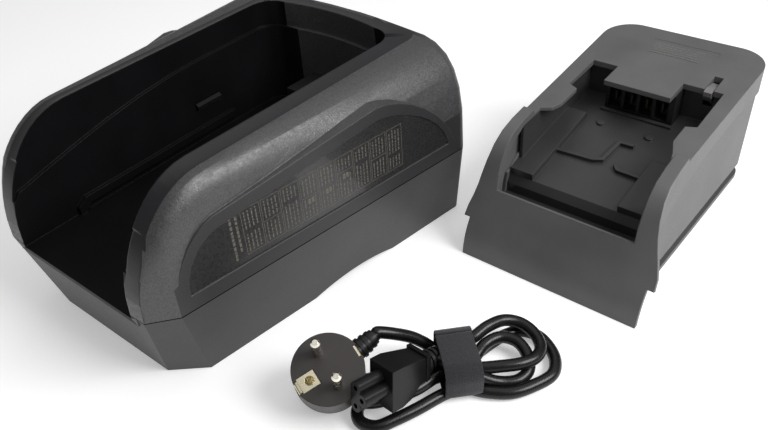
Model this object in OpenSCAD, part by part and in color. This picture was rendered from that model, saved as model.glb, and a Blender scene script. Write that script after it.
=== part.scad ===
// Drop-in power tool battery charger: a tub-shaped charging base, the battery adapter that
// slides into the tub from the front, and a detachable mains lead bundled in a strap.
// X is to the right, Y to the rear, Z up. The origin is the centre of the base's underside.

/* [Charging base] */
// Length of the base, from the front lip to its rear corners
base_len = 223; // [209:1:239]
// How far the rear bows out behind its corners
rear_bow = 4.5; // [3:0.5:6]
// Height of the rim above the table
rim_z = 119; // [110:1:126]
// Width of the base along its parting line, at the front
belly_front_w = 137.5; // [134:0.5:146]
// Width of the base along its parting line, at the rear
belly_rear_w = 196; // [188:0.5:203]
// Height of the parting line between the two base shells
parting_z = 51; // [47:1:53]
// Inset of the underside from the parting line, at the sides
keel_inset = 8; // [6:0.5:12]
// Wall thickness of the base shells
base_wall = 2.6; // [2.2:0.1:3]
// Width of the sloping rim band along the sides
rim_band_side = 9.4; // [8:0.2:11]
// Width of the sloping rim band across the rear
rim_band_end = 13; // [9:0.5:15]
// How far the rim band falls away towards its outer edge
rim_drop = 2.3; // [1.5:0.1:3]

/* [Cradle] */
// Width of the cradle at its front opening
cradle_front_w = 100.4; // [98:0.2:104]
// Width of the cradle at its rear wall
cradle_rear_w = 107.6; // [104:0.2:111]
// Radius of the two rear corners of the cradle
cradle_corner_r = 15; // [10:1:20]
// Height of the cradle floor above the table
floor_z = 49; // [46:0.5:50]
// Width of the support ledge on each cradle wall
ledge_w = 2; // [1.5:0.1:2.5]
// Height of the support ledge at the rear of the cradle
ledge_rear_z = 102; // [96:1:106]
// Clearance between the cradle and the adapter, each side
dock_clear = 0.8; // [0.5:0.1:1.2]
// Height of each guide rail
rail_h = 5.2; // [4:0.2:5.6]
// How far each guide rail stands out of the cradle wall
rail_out = 2.4; // [1.8:0.1:2.6]

/* [Label panels] */
// Depth of the recess that holds each side panel
panel_depth = 2.4; // [1.8:0.1:3]
// Thickness of each side panel
panel_t = 1.4; // [1:0.1:1.6]
// Width of the raised band round each side panel
panel_band = 7.5; // [6:0.5:9]

/* [Adapter] */
// Length of the adapter
adapter_len = 185; // [178:1:192]
// Height of the adapter's top at the front of its slab
adapter_top_z = 76; // [73:1:80]
// Rise of the adapter's top over its whole length
adapter_rise = 9; // [6:0.5:11]
// Width across the front plate above its step
plate_w = 121; // [117:1:125]
// Width across the front plate below its step
plate_low_w = 113; // [108:1:115]
// Wall thickness of the adapter mouldings
adapter_wall = 2.4; // [2:0.1:2.8]
// Radius of the adapter's rear corners
adapter_corner_r = 20; // [14:1:24]
// Thickness of the adapter's bottom plate
bottom_plate_t = 3.4; // [3:0.2:4]
// Slope of the bay floor, in degrees
bay_slope = 8.5; // [6:0.5:10]
// Height of the bay floor at its front edge
bay_front_z = 44; // [42:0.5:46]
// How far the adapter stands to the right of the base's centre line
adapter_x = 178; // [172:1:190]
// How far the adapter's front edge stands ahead of the origin
adapter_y = 71; // [58:1:78]

/* [Mains lead] */
// Diameter of the cord
cord_d = 6.6; // [6.4:0.1:7]
// Diameter of the plug's face
plug_face_d = 36.5; // [36:0.5:38]
// Diameter of the plug's two pins
pin_d = 4.8; // [4.7:0.05:4.9]
// Length of the plug's two pins
pin_len = 19; // [18:0.5:20]
// Distance between the plug's pins
pin_pitch = 19; // [18.6:0.1:19.4]

/* [Hidden] */
$fn = 48;
cut = 1;          // overshoot of a cutting shape past the face it opens
skin = 0.1;       // gap between two separate mouldings that seat on each other
fit_gap = 0.05;   // gap round a metal contact in its moulding

// ---- shared helpers -------------------------------------------------------------------

// Extrudes a (y, z) outline along X from x0 to x1.
module along_x(x0, x1) translate([x0, 0, 0]) rotate([90, 0, 90]) linear_extrude(x1 - x0) children();

// Box given by its two corners.
module block(a, b) translate(a) cube(b - a);

// Closed solid through rings with equal point counts; flat caps at both ends.
module loft(rings) {
    n = len(rings[0]);
    m = len(rings);
    polyhedron(
        points = [for (r = rings) for (p = r) p],
        faces = concat(
            [[for (i = [0:n - 1]) i]],
            [[for (i = [n - 1:-1:0]) (m - 1) * n + i]],
            [for (j = [0:m - 2]) for (i = [0:n - 1]) let(k = (i + 1) % n)
                [j * n + i, (j + 1) * n + i, (j + 1) * n + k]],
            [for (j = [0:m - 2]) for (i = [0:n - 1]) let(k = (i + 1) % n)
                [j * n + i, (j + 1) * n + k, j * n + k]]));
}

// Catmull-Rom spline through the points, with n steps a span.
function spline(p, n) = concat(
    [for (i = [0:len(p) - 2], k = [0:n - 1]) let(
        t = k / n, a = p[max(0, i - 1)], b = p[i], c = p[i + 1], d = p[min(len(p) - 1, i + 2)])
        b + t * (c - a) / 2 + t * t * (a - 2.5 * b + 2 * c - d / 2)
        + t * t * t * (-a + 3 * b - 3 * c + d) / 2],
    [p[len(p) - 1]]);
function unit(v) = v / norm(v);
function tangent(p, i) = unit(p[min(len(p) - 1, i + 1)] - p[max(0, i - 1)]);
function across(v, t) = unit(v - (v * t) * t);
// Side vectors that turn as little as possible from ring to ring.
function sides_along(p, first) =
    [for (i = 0, u = across(first, tangent(p, 0)); i < len(p);
          i = i + 1, u = i < len(p) ? across(u, tangent(p, i)) : u) u];
// Round tube of diameter d along the points, with flat ends.
module tube(p, d, sides) {
    t0 = tangent(p, 0);
    us = sides_along(p, abs(t0[2]) < 0.8 ? [0, 0, 1] : [1, 0, 0]);
    loft([for (i = [0:len(p) - 1]) let(u = us[i], w = cross(tangent(p, i), u))
        [for (k = [0:sides - 1]) let(a = -360 * k / sides) p[i] + d / 2 * (cos(a) * u + sin(a) * w)]]);
}

// Closed solid through rings that are mirror images left and right, as mirror_ring makes them.
module mirrored_loft(rings) {
    n = len(rings[0]);
    m = len(rings);
    top = (m - 1) * n;
    polyhedron(
        points = [for (r = rings) for (p = r) p],
        faces = concat(
            [for (i = [0:n / 2 - 2]) [i, i + 1, n - 2 - i, n - 1 - i]],
            [for (i = [0:n / 2 - 2]) [top + i, top + n - 1 - i, top + n - 2 - i, top + i + 1]],
            [for (j = [0:m - 2]) for (i = [0:n - 1]) let(k = (i + 1) % n)
                [j * n + i, (j + 1) * n + i, (j + 1) * n + k]],
            [for (j = [0:m - 2]) for (i = [0:n - 1]) let(k = (i + 1) % n)
                [j * n + i, (j + 1) * n + k, j * n + k]]));
}
function mirror_ring(right) = concat(right,
    [for (i = [len(right) - 1:-1:0]) [-right[i][0], right[i][1], right[i][2]]]);

// Compression spring along +Z: a stack of rings, one per turn.
module coil_spring(r, wire, length, turns) {
    steps = 10 * turns;
    tube([for (i = [0:steps]) let(a = 360 * i * turns / steps)
        [r * cos(a), r * sin(a), wire / 2 + i * (length - wire) / steps]], wire, 6);
}

// ---- charging base: shared outlines ---------------------------------------------------
// v is the distance behind the front lip; the base's own frame starts at the lip.

front_y = -base_len / 2;
module in_base() translate([0, front_y, 0]) children();

cradle_len = base_len - rim_band_end;
rim_curve_len = 50;         // length over which the side walls sweep up from the lip
front_z = parting_z + 0.8;  // height at which the side walls start at the lip
chamfer_len = 14;           // length of the corner chamfer beside the lip
lip_half = cradle_front_w / 2 + rim_band_side - 0.6;
belly_corner_r = 9;
rim_corner_r = 12;
keel_corner_r = 4;
crest_in = -0.1;            // the sloping band runs from here, as shares of its width ...
crest_out = 0.94;           // ... to here, on top of the block's own flat rim
crest_foot = 0.4;           // how far it is sunk into that rim
crest_from = 6;             // station at which it starts
floor_t = 3;                // thickness of the cradle floor
bulge = 3;                  // exponent of the outer wall's section: 2 is an ellipse

function cradle_half(v) = (cradle_front_w + (cradle_rear_w - cradle_front_w) * v / cradle_len) / 2;
function belly_half(v) = (belly_front_w + (belly_rear_w - belly_front_w) * v / cradle_len) / 2;
function side_half(v) = v < chamfer_len
    ? lip_half + (belly_half(chamfer_len) - lip_half) * v / chamfer_len : belly_half(v);
// Share of its full height that the rim has reached at v.
function rim_rise(v) = let(s = max(0, 1 - v / rim_curve_len)) sqrt(1 - s * s);

side_end = base_len - belly_corner_r;
stations = [0, 0.7, 2, 4, 7, 10.5, 14, 18, 22.5, 27.5, 33, 38.5, 44, 50, 70, 100, 160, side_end];
corner_steps = [10:10:90];
bow_steps = [0.75, 0.5, 0.25];
// Points of a bowed rear edge, from near a corner at half width w towards the middle.
function bowed(w, y, z) = [for (t = bow_steps) [t * w, y + rear_bow * (1 - t * t), z]];
levels = [0, 14, 28, 42, 56, 70, 80, 90];

// Right half of the belly's outline, pulled in by d, at height z, with a point at each v of at.
function belly_right(d, z, at) = concat(
    [for (v = at) [side_half(v) - d, d + v * (side_end - d) / side_end, z]],
    [for (a = corner_steps)
        [belly_half(side_end) - belly_corner_r + (belly_corner_r - d) * cos(a),
         side_end + (belly_corner_r - d) * sin(a), z]],
    bowed(belly_half(side_end) - belly_corner_r, base_len - d, z));
// Line along the rim at a share of its band's width out from the cradle, rising to height z,
// pulled in by d and lowered by half as much.
function rim_line(share, z, d) = let(
    r = cradle_corner_r + (rim_corner_r - cradle_corner_r) * share,
    l = cradle_len + rim_band_end * share, e = l - r,
    h = cradle_half(e) + rim_band_side * share) concat(
    [for (v = stations) let(w = v > 100 ? 100 + (v - 100) * (e - 100) / (side_end - 100) : v)
        [cradle_half(w) + rim_band_side * share - d, d + w * (e - d) / e,
         front_z + (z - front_z) * rim_rise(w) - d / 2]],
    [for (a = corner_steps) [h - r + (r - d) * cos(a), e + (r - d) * sin(a), z - d / 2]],
    bowed(h - r, l - d, z - d / 2));
// Wedge on the block's flat rim that gives the band its slope.
module rim_crest() {
    foot = rim_z - rim_drop - crest_foot;
    lines = [for (p = [[crest_in, foot], [crest_in, rim_z], [crest_out, foot]])
        mirror_ring(rim_line(p[0], p[1], 0))];
    loft([for (i = [crest_from:len(lines[0]) - 1 - crest_from]) [for (line = lines) line[i]]]);
}

// Solid block of the upper shell between the parting line and the rim, pulled in by d.
module upper_block(d) {
    low = belly_right(d, parting_z - (d > 0 ? cut : 0), stations);
    high = rim_line(1, rim_z - rim_drop, d);
    mirrored_loft([for (a = levels) mirror_ring([for (i = [0:len(low) - 1])
        let(h = 1 - pow(max(0, cos(a)), 2 / bulge), u = pow(sin(a), 2 / bulge))
        [low[i][0] + (high[i][0] - low[i][0]) * h, low[i][1] + (high[i][1] - low[i][1]) * h,
         low[i][2] + (high[i][2] - low[i][2]) * u]])]);
}

// Plan of the cradle, moved out from its walls by d.
module cradle_plan(d) {
    h = cradle_half(cradle_len) + d;
    r = cradle_corner_r + d;
    l = cradle_len + d;
    polygon(concat([[-cradle_half(0) - d, -cut], [cradle_half(0) + d, -cut], [h, l - r]],
        [for (t = [1:-0.25:-1]) [t * (h - r), l + rear_bow * (1 - t * t)]], [[-h, l - r]]));
    for (s = [-1, 1]) translate([s * (h - r), l - r]) circle(r);
}

// Side outline (v, z) of the support ledge: a rising curve from the lip to the rear.
ledge_front_z = floor_z + 28;
module ledge_side() polygon(concat(
    [[-cut, floor_z - cut], [-cut, ledge_front_z], [5, ledge_front_z]],
    [for (v = [8, 25, 45, 70, 95, 120, 145])
        [v, ledge_front_z + 4 + (ledge_rear_z - ledge_front_z - 4) * sin(90 * (v - 8) / 137)]],
    [[base_len, ledge_rear_z], [base_len, floor_z - cut]]));

// Space inside the cradle: wide above the ledge, narrower below it.
module cradle_space() {
    translate([0, 0, floor_z]) linear_extrude(rim_z - floor_z + cut) cradle_plan(-ledge_w);
    difference() {
        translate([0, 0, floor_z]) linear_extrude(rim_z - floor_z + cut) cradle_plan(0);
        along_x(-base_len, base_len) ledge_side();
    }
}

// Side panels: D outline (v, z) with its flat side on the parting line, inset by d.
panel_front_v = 14;
panel_rise_len = 34;
panel_rear_v = 213;
panel_fall_len = 64;
panel_front_h = 47;
panel_rear_h = 58;
panel_fall_power = 1.25;    // above 1 draws the rear of a panel flatter than an ellipse
panel_steps = [0:10:90];
module panel_outline(d, base_gap) polygon(concat(
    [for (a = panel_steps)
        [panel_front_v + d + (panel_rise_len - d) * (1 - cos(a)),
         parting_z + base_gap + (panel_front_h - d - base_gap) * sin(a)]],
    [for (a = panel_steps)
        [panel_rear_v - d - (panel_fall_len - d) * (1 - pow(sin(a), panel_fall_power)),
         parting_z + base_gap
             + (panel_rear_h - d - base_gap) * pow(max(0, cos(a)), panel_fall_power)]]));
belly_angle = atan((belly_rear_w - belly_front_w) / 2 / cradle_len);
// Places an outline in the plane of the right side panel; depth is measured inwards.
module on_side(from, to) translate([belly_half(0), 0, 0]) rotate([0, 0, -belly_angle])
    along_x(-to, -from) children();
module both_sides() for (s = [0, 1]) mirror([s, 0, 0]) children();

panel_back_t = 1.8;      // web left behind a side panel
panel_gap = 9;           // strip between the parting line and a side panel
panel_root = 9;          // how far in the raised band round a side panel reaches
panel_foot = 0.4;        // step between the parting line and the band round a side panel

// ---- charging base: shells ------------------------------------------------------------

boss_rear_v = base_len - 36.5;
boss_xy = [[-46, 30], [46, 30], [-51, boss_rear_v], [51, boss_rear_v]];   // (x, v) of the case screws
boss_r = 4;
screw_r = 1.5;
screw_head_r = 3;
screw_head_h = 2.4;
screw_seat_z = 5;        // height of the seat under each case screw's head
screw_top_z = 40;

inlet_w = 19;            // inlet opening, with the connector's shroud inside
inlet_h = 14;
inlet_x = 40;
inlet_z = 24;
inlet_depth = 17;
dock_w = 44;             // terminal block at the rear of the cradle
dock_h = 16;
dock_z = floor_z + 6;
dock_gap = 1.5;          // left between the docked adapter and the terminal block
dock_back_v = cradle_len + rear_bow + base_wall;
light_r = 1.5;           // indicator lights in the left side panel
light_len = 6;
light_vs = [48, 58];
light_z = parting_z + 14;
detent_v = 143;          // place of the detent along the left wall
detent_z = floor_z + 21;
detent_w = 20;
detent_h = 5;
detent_out = 2;
rail_z = floor_z + 4.3;  // underside of the guide rails
rail_front_v = 36;
rail_rear_v = 162;
run_gap = 0.3;           // gap round a sliding piece

module guide_rails() both_sides()
    intersection() {
        along_x(cradle_half(0) - ledge_w - rail_out, 80) polygon([
            [rail_front_v, floor_z], [rail_front_v + 4, floor_z],
            [rail_front_v + 9, rail_z], [rail_rear_v, rail_z], [rail_rear_v, rail_z + rail_h],
            [rail_front_v + 6, rail_z + rail_h], [rail_front_v, rail_z + 1]]);
        difference() {
            linear_extrude(rim_z) cradle_plan(0.5 - ledge_w);
            linear_extrude(rim_z) cradle_plan(-ledge_w - rail_out);
        }
    }

module base_upper_shell() color([0.10, 0.10, 0.11]) in_base() {
    difference() {
        union() {
            difference() {
                union() {
                    upper_block(0);
                    rim_crest();
                }
                difference() {
                    upper_block(base_wall);
                    translate([0, 0, floor_z - floor_t])
                        linear_extrude(rim_z) cradle_plan(base_wall);
                }
            }
            difference() {
                translate([0, 0, floor_z - floor_t])
                    linear_extrude(rim_z - floor_z - floor_t) cradle_plan(base_wall);
                upper_cut_away();
            }
            both_sides() difference() {
                on_side(0.15, panel_root) panel_outline(0, panel_foot);
                on_side(panel_depth + panel_back_t, panel_root + cut)
                    panel_outline(panel_band - base_wall, panel_gap - base_wall);
            }
            for (p = boss_xy) translate([p[0], p[1], screw_top_z - 8])
                cylinder(r = boss_r, h = floor_z - screw_top_z + 6);
        }
        cradle_space();
        both_sides() on_side(-cut, panel_depth) panel_outline(panel_band, panel_gap);
        for (v = light_vs) on_left_panel(v, light_z, -cut, light_r + skin, panel_depth + light_len);
        // dock block's seat in the rear wall, with room for its wires
        block([-dock_w / 2 - skin, cradle_len - ledge_w - cut, dock_z - skin],
              [dock_w / 2 + skin, dock_back_v + cut, dock_z + dock_h + skin]);
        // window for the detent
        block([-cradle_half(detent_v) - 9, detent_v - detent_w / 2 - run_gap, detent_z - run_gap],
              [-cradle_half(detent_v) + 6, detent_v + detent_w / 2 + run_gap,
               detent_z + detent_h + run_gap]);
        for (p = boss_xy) translate([p[0], p[1], 0]) cylinder(r = screw_r, h = screw_top_z);
    }
    guide_rails();
}
// Everything outside the outer skin or in front of the lip, for trimming the tub.
module upper_cut_away() {
    difference() {
        translate([0, 0, parting_z]) linear_extrude(rim_z)
            square([3 * base_len, 3 * base_len], center = true);
        upper_block(0.5);
    }
    block([-base_len, -2 * cut, 0], [base_len, 0, rim_z]);
}

keel_front = 10.5;       // front edge of the underside, behind the lip
keel_lip = 46.5;
keel_corner_v = 26;
keel_end = base_len - keel_corner_r;
function keel_y(v) = v < chamfer_len
    ? keel_front + v * (keel_corner_v - keel_front) / chamfer_len
    : keel_corner_v + (v - chamfer_len) * (keel_end - keel_corner_v) / (side_end - chamfer_len);
function keel_x(v) = v < chamfer_len
    ? keel_lip + (belly_half(keel_corner_v) - keel_inset - keel_lip) * v / chamfer_len
    : belly_half(keel_y(v)) - keel_inset;
// Outline of the underside, pulled in by d, at height z.
lower_stations = [0, chamfer_len, side_end];
function keel_right(d, z) = concat(
    [for (v = lower_stations) [keel_x(v) - d, keel_y(v) + d * (1 - v / side_end), z]],
    [for (a = corner_steps)
        [keel_x(side_end) - keel_corner_r + (keel_corner_r - d) * cos(a),
         keel_end + (keel_corner_r - d) * sin(a), z]],
    bowed(keel_x(side_end) - keel_corner_r, base_len - d, z));

arch_v = 130;            // finger arches under the two long sides
arch_len = 62;
arch_rise = 4.5;
arch_r = (pow(arch_len / 2, 2) + pow(arch_rise, 2)) / (2 * arch_rise);
arch_reach = 12;         // how far an arch reaches in under the base

pad_r = 7;
pad_t = 1.6;
pad_xy = [[-38, 26], [38, 26], [-74, 178], [74, 178]];

module lower_block(d, top)
    mirrored_loft([mirror_ring(keel_right(d, d)), mirror_ring(belly_right(d, top, lower_stations))]);
module arch_band(r) both_sides()
    intersection() {
        along_x(belly_half(arch_v) - keel_inset - arch_reach, belly_half(arch_v) + 10)
            translate([arch_v, arch_rise - arch_r]) circle(r, $fn = 96);
        block([0, 0, -cut], [base_len, base_len, parting_z]);
    }

board_z = 12;
board_t = 1.6;
board_x = 56;
board_v0 = 44;
board_v1 = 176;
board_posts = [[-50, 52], [50, 52], [-50, 168], [50, 168]];
post_r = 3.5;
inlet_wall = 2;
inlet_out_v = base_len + rear_bow - 2;   // rear face of the mains inlet
module inlet_outline(d) block(
    [inlet_x - inlet_w / 2 - inlet_wall - d, inlet_out_v - inlet_depth - 3,
     inlet_z - inlet_h / 2 - inlet_wall - d],
    [inlet_x + inlet_w / 2 + inlet_wall + d, inlet_out_v,
     inlet_z + inlet_h / 2 + inlet_wall + d]);

module base_lower_shell() color([0.12, 0.12, 0.13]) in_base() difference() {
    union() {
        difference() {
            lower_block(0, parting_z);
            lower_block(base_wall, parting_z + cut);
        }
        intersection() {
            lower_block(0, parting_z);
            arch_band(arch_r + base_wall);
        }
        for (p = board_posts) translate([p[0], p[1], base_wall - skin])
            cylinder(r = post_r, h = board_z - base_wall + skin);
        for (p = boss_xy) translate([p[0], p[1], 0])
            cylinder(r = boss_r + 1.6, h = screw_top_z - 8 - run_gap);
    }
    arch_band(arch_r);
    // step under the cradle floor, open to the front
    translate([0, 0, floor_z - floor_t - skin]) linear_extrude(parting_z)
        cradle_plan(base_wall + skin);
    translate([0, rear_bow, 0]) inlet_outline(skin);
    for (p = boss_xy) translate([p[0], p[1], 0]) {
        translate([0, 0, -cut]) cylinder(r = screw_head_r + 0.5, h = screw_seat_z + cut);
        cylinder(r = screw_r + 0.2, h = parting_z);
    }
    for (p = pad_xy) translate([p[0], p[1], -cut]) cylinder(r = pad_r, h = pad_t + cut);
    for (p = board_posts) translate([p[0], p[1], board_z - 6]) cylinder(r = 1, h = 10);
}

// ---- charging base: fittings ----------------------------------------------------------

module panel_plate() on_side(panel_depth - panel_t, panel_depth)
    panel_outline(panel_band + skin, panel_gap + skin);
module on_left_panel(v, z, from, r, len) mirror([1, 0, 0])
    translate([belly_half(0), 0, 0]) rotate([0, 0, -belly_angle])
        translate([-from, v, z]) rotate([0, -90, 0]) cylinder(r = r, h = len);

module right_label_panel() color([0.06, 0.06, 0.07]) in_base() panel_plate();
module left_label_panel() color([0.06, 0.06, 0.07]) in_base() difference() {
    mirror([1, 0, 0]) panel_plate();
    for (v = light_vs) on_left_panel(v, light_z, -cut, light_r + skin, base_wall * 4);
}
module anti_slip_pads() color([0.05, 0.05, 0.05]) in_base()
    for (p = pad_xy) translate([p[0], p[1], 0]) cylinder(r = pad_r - skin, h = pad_t - 0.05);
module base_screws() color([0.55, 0.55, 0.57]) in_base()
    for (p = boss_xy) translate([p[0], p[1], 0]) difference() {
        union() {
            translate([0, 0, screw_seat_z - screw_head_h])
                cylinder(r = screw_head_r, h = screw_head_h - 0.02);
            translate([0, 0, screw_seat_z - 0.1])
                cylinder(r = screw_r - 0.05, h = screw_top_z - screw_seat_z - 1);
        }
        translate([0, 0, screw_seat_z - screw_head_h - cut]) {
            block([-2, -0.4, 0], [2, 0.4, cut + 1.2]);
            block([-0.4, -2, 0], [0.4, 2, cut + 1.2]);
        }
    }

// Cloverleaf section shared by the inlet pins and the connector's nose.
clover = [[-5, 1.6], [5, 1.6], [0, -2.9]];
inlet_pin_d = 2.4;
module mains_inlet() color([0.04, 0.04, 0.04]) in_base() difference() {
    inlet_outline(0);
    block([inlet_x - inlet_w / 2, inlet_out_v - inlet_depth, inlet_z - inlet_h / 2],
          [inlet_x + inlet_w / 2, inlet_out_v + cut, inlet_z + inlet_h / 2]);
    for (c = clover) translate([inlet_x + c[0], 0, inlet_z + c[1]]) rotate([-90, 0, 0])
        cylinder(d = inlet_pin_d + 2 * skin, h = base_len);
}
module inlet_pins() color([0.80, 0.78, 0.70]) in_base()
    for (c = clover) translate([inlet_x + c[0], inlet_out_v - inlet_depth - 8, inlet_z + c[1]])
        rotate([-90, 0, 0]) cylinder(d = inlet_pin_d, h = 8 + inlet_depth - 5, $fn = 24);

module charger_board() color([0.10, 0.32, 0.18]) in_base() difference() {
    block([-board_x, board_v0, board_z], [board_x, board_v1, board_z + board_t]);
    for (p = board_posts) translate([p[0], p[1], board_z - cut]) cylinder(r = 1.6, h = 5);
}
part_z = board_z + board_t;       // parts stand on the board
core_v = 108;
core_l = 46;
core_w = 22;
core_h = 30;
core_leg = 9;
core_yoke = 6.3;
coil_t = 8;
module transformer_core() color([0.25, 0.25, 0.26]) in_base() difference() {
    block([-core_l / 2, core_v - core_w / 2, part_z], [core_l / 2, core_v + core_w / 2, part_z + core_h]);
    for (s = [-1, 1]) translate([s * (core_leg / 2 + core_l / 4 - core_leg / 4 - 1.5), 0, 0])
        block([-(core_l / 4 - core_leg / 2), core_v - core_w, part_z + 6],
              [core_l / 4 - core_leg / 2, core_v + core_w, part_z + core_h - 6]);
}
module transformer_coil() color([0.72, 0.52, 0.16]) in_base() difference() {
    translate([0, core_v, part_z + core_yoke]) linear_extrude(core_h - 2 * core_yoke)
        square([core_leg + 2 * coil_t, core_w + 2 * coil_t - 2], center = true);
    translate([0, core_v, part_z]) linear_extrude(core_h)
        square([core_leg + 1.8, core_w + 0.6], center = true);
}
can_list = [[-38, 66, 9, 27], [-38, 88, 6, 20], [38, 132, 6, 22], [28, 152, 5, 16]];  // x, v, r, height
module capacitors() color([0.15, 0.17, 0.30]) in_base()
    for (c = can_list) translate([c[0], c[1], part_z]) {
        cylinder(r = c[2], h = c[3] - 0.6);
        translate([0, 0, c[3] - 0.6]) cylinder(r = c[2] - 1, h = 0.6);
    }
sink_x = 36;
sink_v0 = 66;
sink_v1 = 112;
sink_h = 26;
sink_t = 3;
fin_len = 9;
fin_t = 2;
module heat_sink() color([0.70, 0.71, 0.72]) in_base() {
    block([sink_x, sink_v0, part_z], [sink_x + sink_t, sink_v1, part_z + sink_h]);
    for (i = [0:4])
        translate([sink_x + sink_t - skin, sink_v0 + i * (sink_v1 - sink_v0 - fin_t) / 4, part_z])
            cube([fin_len, fin_t, sink_h]);
}
module power_transistors() color([0.08, 0.08, 0.08]) in_base()
    for (v = [sink_v0 + 8, sink_v1 - 18]) {
        block([sink_x - 4.6, v, part_z + 4], [sink_x - 0.05, v + 10, part_z + 19]);
        for (i = [0:2]) block([sink_x - 2.8, v + 1.8 + i * 2.7, part_z],
                              [sink_x - 2, v + 2.8 + i * 2.7, part_z + 4.2]);
    }
module mains_fuse() color([0.85, 0.85, 0.80]) in_base() translate([-24, 150, part_z]) {
    for (x = [0, 17]) block([x, -3, 0], [x + 3, 3, 1.2]);
    translate([0, 0, 3.6]) rotate([0, 90, 0]) cylinder(d = 5.2, h = 20);
}
module noise_choke() color([0.62, 0.35, 0.12]) in_base()
    translate([7, 152, part_z + 9.4]) rotate([90, 0, 0])
        rotate_extrude() translate([6.2, 0]) circle(r = 3.2, $fn = 24);
light_from = panel_depth - panel_t - 0.4;
module indicator_lights() color([0.75, 0.18, 0.14]) in_base()
    for (v = light_vs) on_left_panel(v, light_z, light_from, light_r, light_len);

wire_d = 2;
wire_foot = 0.02;        // gap between a wire's or cord's end and what it meets
module inlet_wires() color([0.45, 0.25, 0.12]) in_base()
    for (i = [0, 1]) let(c = clover[i], back = inlet_out_v - inlet_depth - 8.2)
        tube(spline([[inlet_x + c[0], back, inlet_z + c[1]], [inlet_x + c[0], back - 3, inlet_z + c[1]],
                     [inlet_x + c[0] - 4, back - 9, inlet_z + c[1]],
                     [inlet_x + c[0] - 9, board_v1 - 6, part_z + 9],
                     [inlet_x + c[0] - 10, board_v1 - 9, part_z + 3],
                     [inlet_x + c[0] - 10, board_v1 - 9, part_z + wire_foot]], 1), wire_d, 8);

dock_front_v = adapter_len + dock_gap;
blade_xs = [-13, 0, 13];
blade_w = 6;
blade_t = 1;
blade_out = 12;
blade_z = dock_z + dock_h / 2;
module dock_terminal_block() color([0.07, 0.07, 0.08]) in_base() difference() {
    union() {
        block([-dock_w / 2, dock_front_v, dock_z], [dock_w / 2, dock_back_v, dock_z + dock_h]);
        block([-dock_w / 2 + 3, dock_front_v + 4, floor_z + 0.02],
              [dock_w / 2 - 3, cradle_len - ledge_w - run_gap, dock_z + cut]);
    }
    for (x = blade_xs) block([x - blade_t / 2 - fit_gap, 0, blade_z - blade_w / 2 - fit_gap],
                             [x + blade_t / 2 + fit_gap, 2 * base_len, blade_z + blade_w / 2 + fit_gap]);
}
module dock_contacts() color([0.80, 0.68, 0.36]) in_base()
    for (x = blade_xs) block([x - blade_t / 2, dock_front_v - blade_out, blade_z - blade_w / 2],
                             [x + blade_t / 2, dock_back_v + 1.5, blade_z + blade_w / 2]);
dock_wire_v = dock_back_v + 2.8;
module dock_wires() color([0.60, 0.10, 0.10]) in_base()
    for (x = [blade_xs[0], blade_xs[2]])
        tube(spline([[x, dock_wire_v, dock_z + dock_h / 2 + 3], [x, dock_wire_v, floor_z - floor_t - 2],
                     [x, dock_wire_v - 6, floor_z - 16], [x, board_v1 + 4, part_z + 12],
                     [x, board_v1 - 5, part_z + 4], [x, board_v1 - 5, part_z + wire_foot]], 1),
             wire_d, 8);

// Detent: a sprung button in the left wall that clicks into the docked adapter.
detent_face = cradle_half(detent_v) - ledge_w;   // inner face of the lower wall there
detent_flange = 1.4;
detent_slack = 0.6;       // between the button's flange and the back of the wall
detent_stop = detent_face + base_wall + ledge_w + detent_slack;
detent_travel = 2.4;
spring_r = 2;
spring_wire = 0.5;
spring_len = 9;
module detent_button() color([0.16, 0.16, 0.17]) in_base() union() {
    block([-detent_stop, detent_v - detent_w / 2, detent_z],
          [-detent_face, detent_v + detent_w / 2, detent_z + detent_h]);
    translate([-detent_face, detent_v + detent_w / 2, detent_z]) rotate([90, 0, 0])
        linear_extrude(detent_w) polygon([[-0.01, 0], [detent_out, 1.4], [detent_out, detent_h - 1.4],
                                          [-0.01, detent_h]]);
    block([-detent_stop - detent_flange, detent_v - detent_w / 2 - 2, detent_z - 2],
          [-detent_stop, detent_v + detent_w / 2 + 2, detent_z + detent_h + 2]);
}
module detent_spring() color([0.70, 0.70, 0.72]) in_base()
    translate([-detent_stop - detent_flange - 0.1, detent_v, detent_z + detent_h / 2]) rotate([0, -90, 0])
        coil_spring(spring_r, spring_wire, spring_len, 7);

// ---- adapter: shared outlines ---------------------------------------------------------
// Its own frame: x to the right, y behind its front bottom edge, z above its underside.

module in_adapter() translate([adapter_x, adapter_y, 0]) children();

body_corner_r = 11;       // rear corners of the lower body
body_back = 4;            // the lower body ends this far ahead of the slab
side_step = 2;            // lower body is narrower than the slab by this, each side
function slab_half(y) = cradle_half(y) - dock_clear;
function body_half(y) = slab_half(y) - side_step;
function top_z(y) = adapter_top_z + adapter_rise * y / adapter_len;
front_step_z = 23;        // step in the outline of the front plate
front_t = 3;              // thickness of the front plate and its flanges
front_top_z = 43.5;       // upper edge of the front plate, ahead of the battery bay

// Front surface (y, z): a bulged plate that curls back into the slab's top.
front_curve = [[0, 0], [0.9, 6], [2.6, 12.5], [5, 18], [7.8, front_step_z], [11.2, 29], [13.8, 36],
               [15.4, front_top_z], [16.6, 51], [19.6, 60], [25, 68.5], [32.5, 74],
               [43, 77], [56, top_z(56)]];
// Half width of the flange beside each point of the front surface, from the step up.
flange_from = 4;
flange_half = [plate_w / 2, plate_w / 2 - 0.6, plate_w / 2 - 2.6, plate_w / 2 - 4.6, plate_w / 2 - 6.2,
               plate_w / 2 - 7.8, plate_w / 2 - 9, plate_w / 2 - 9.6, plate_w / 2 - 9.8,
               plate_w / 2 - 9.9];
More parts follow.
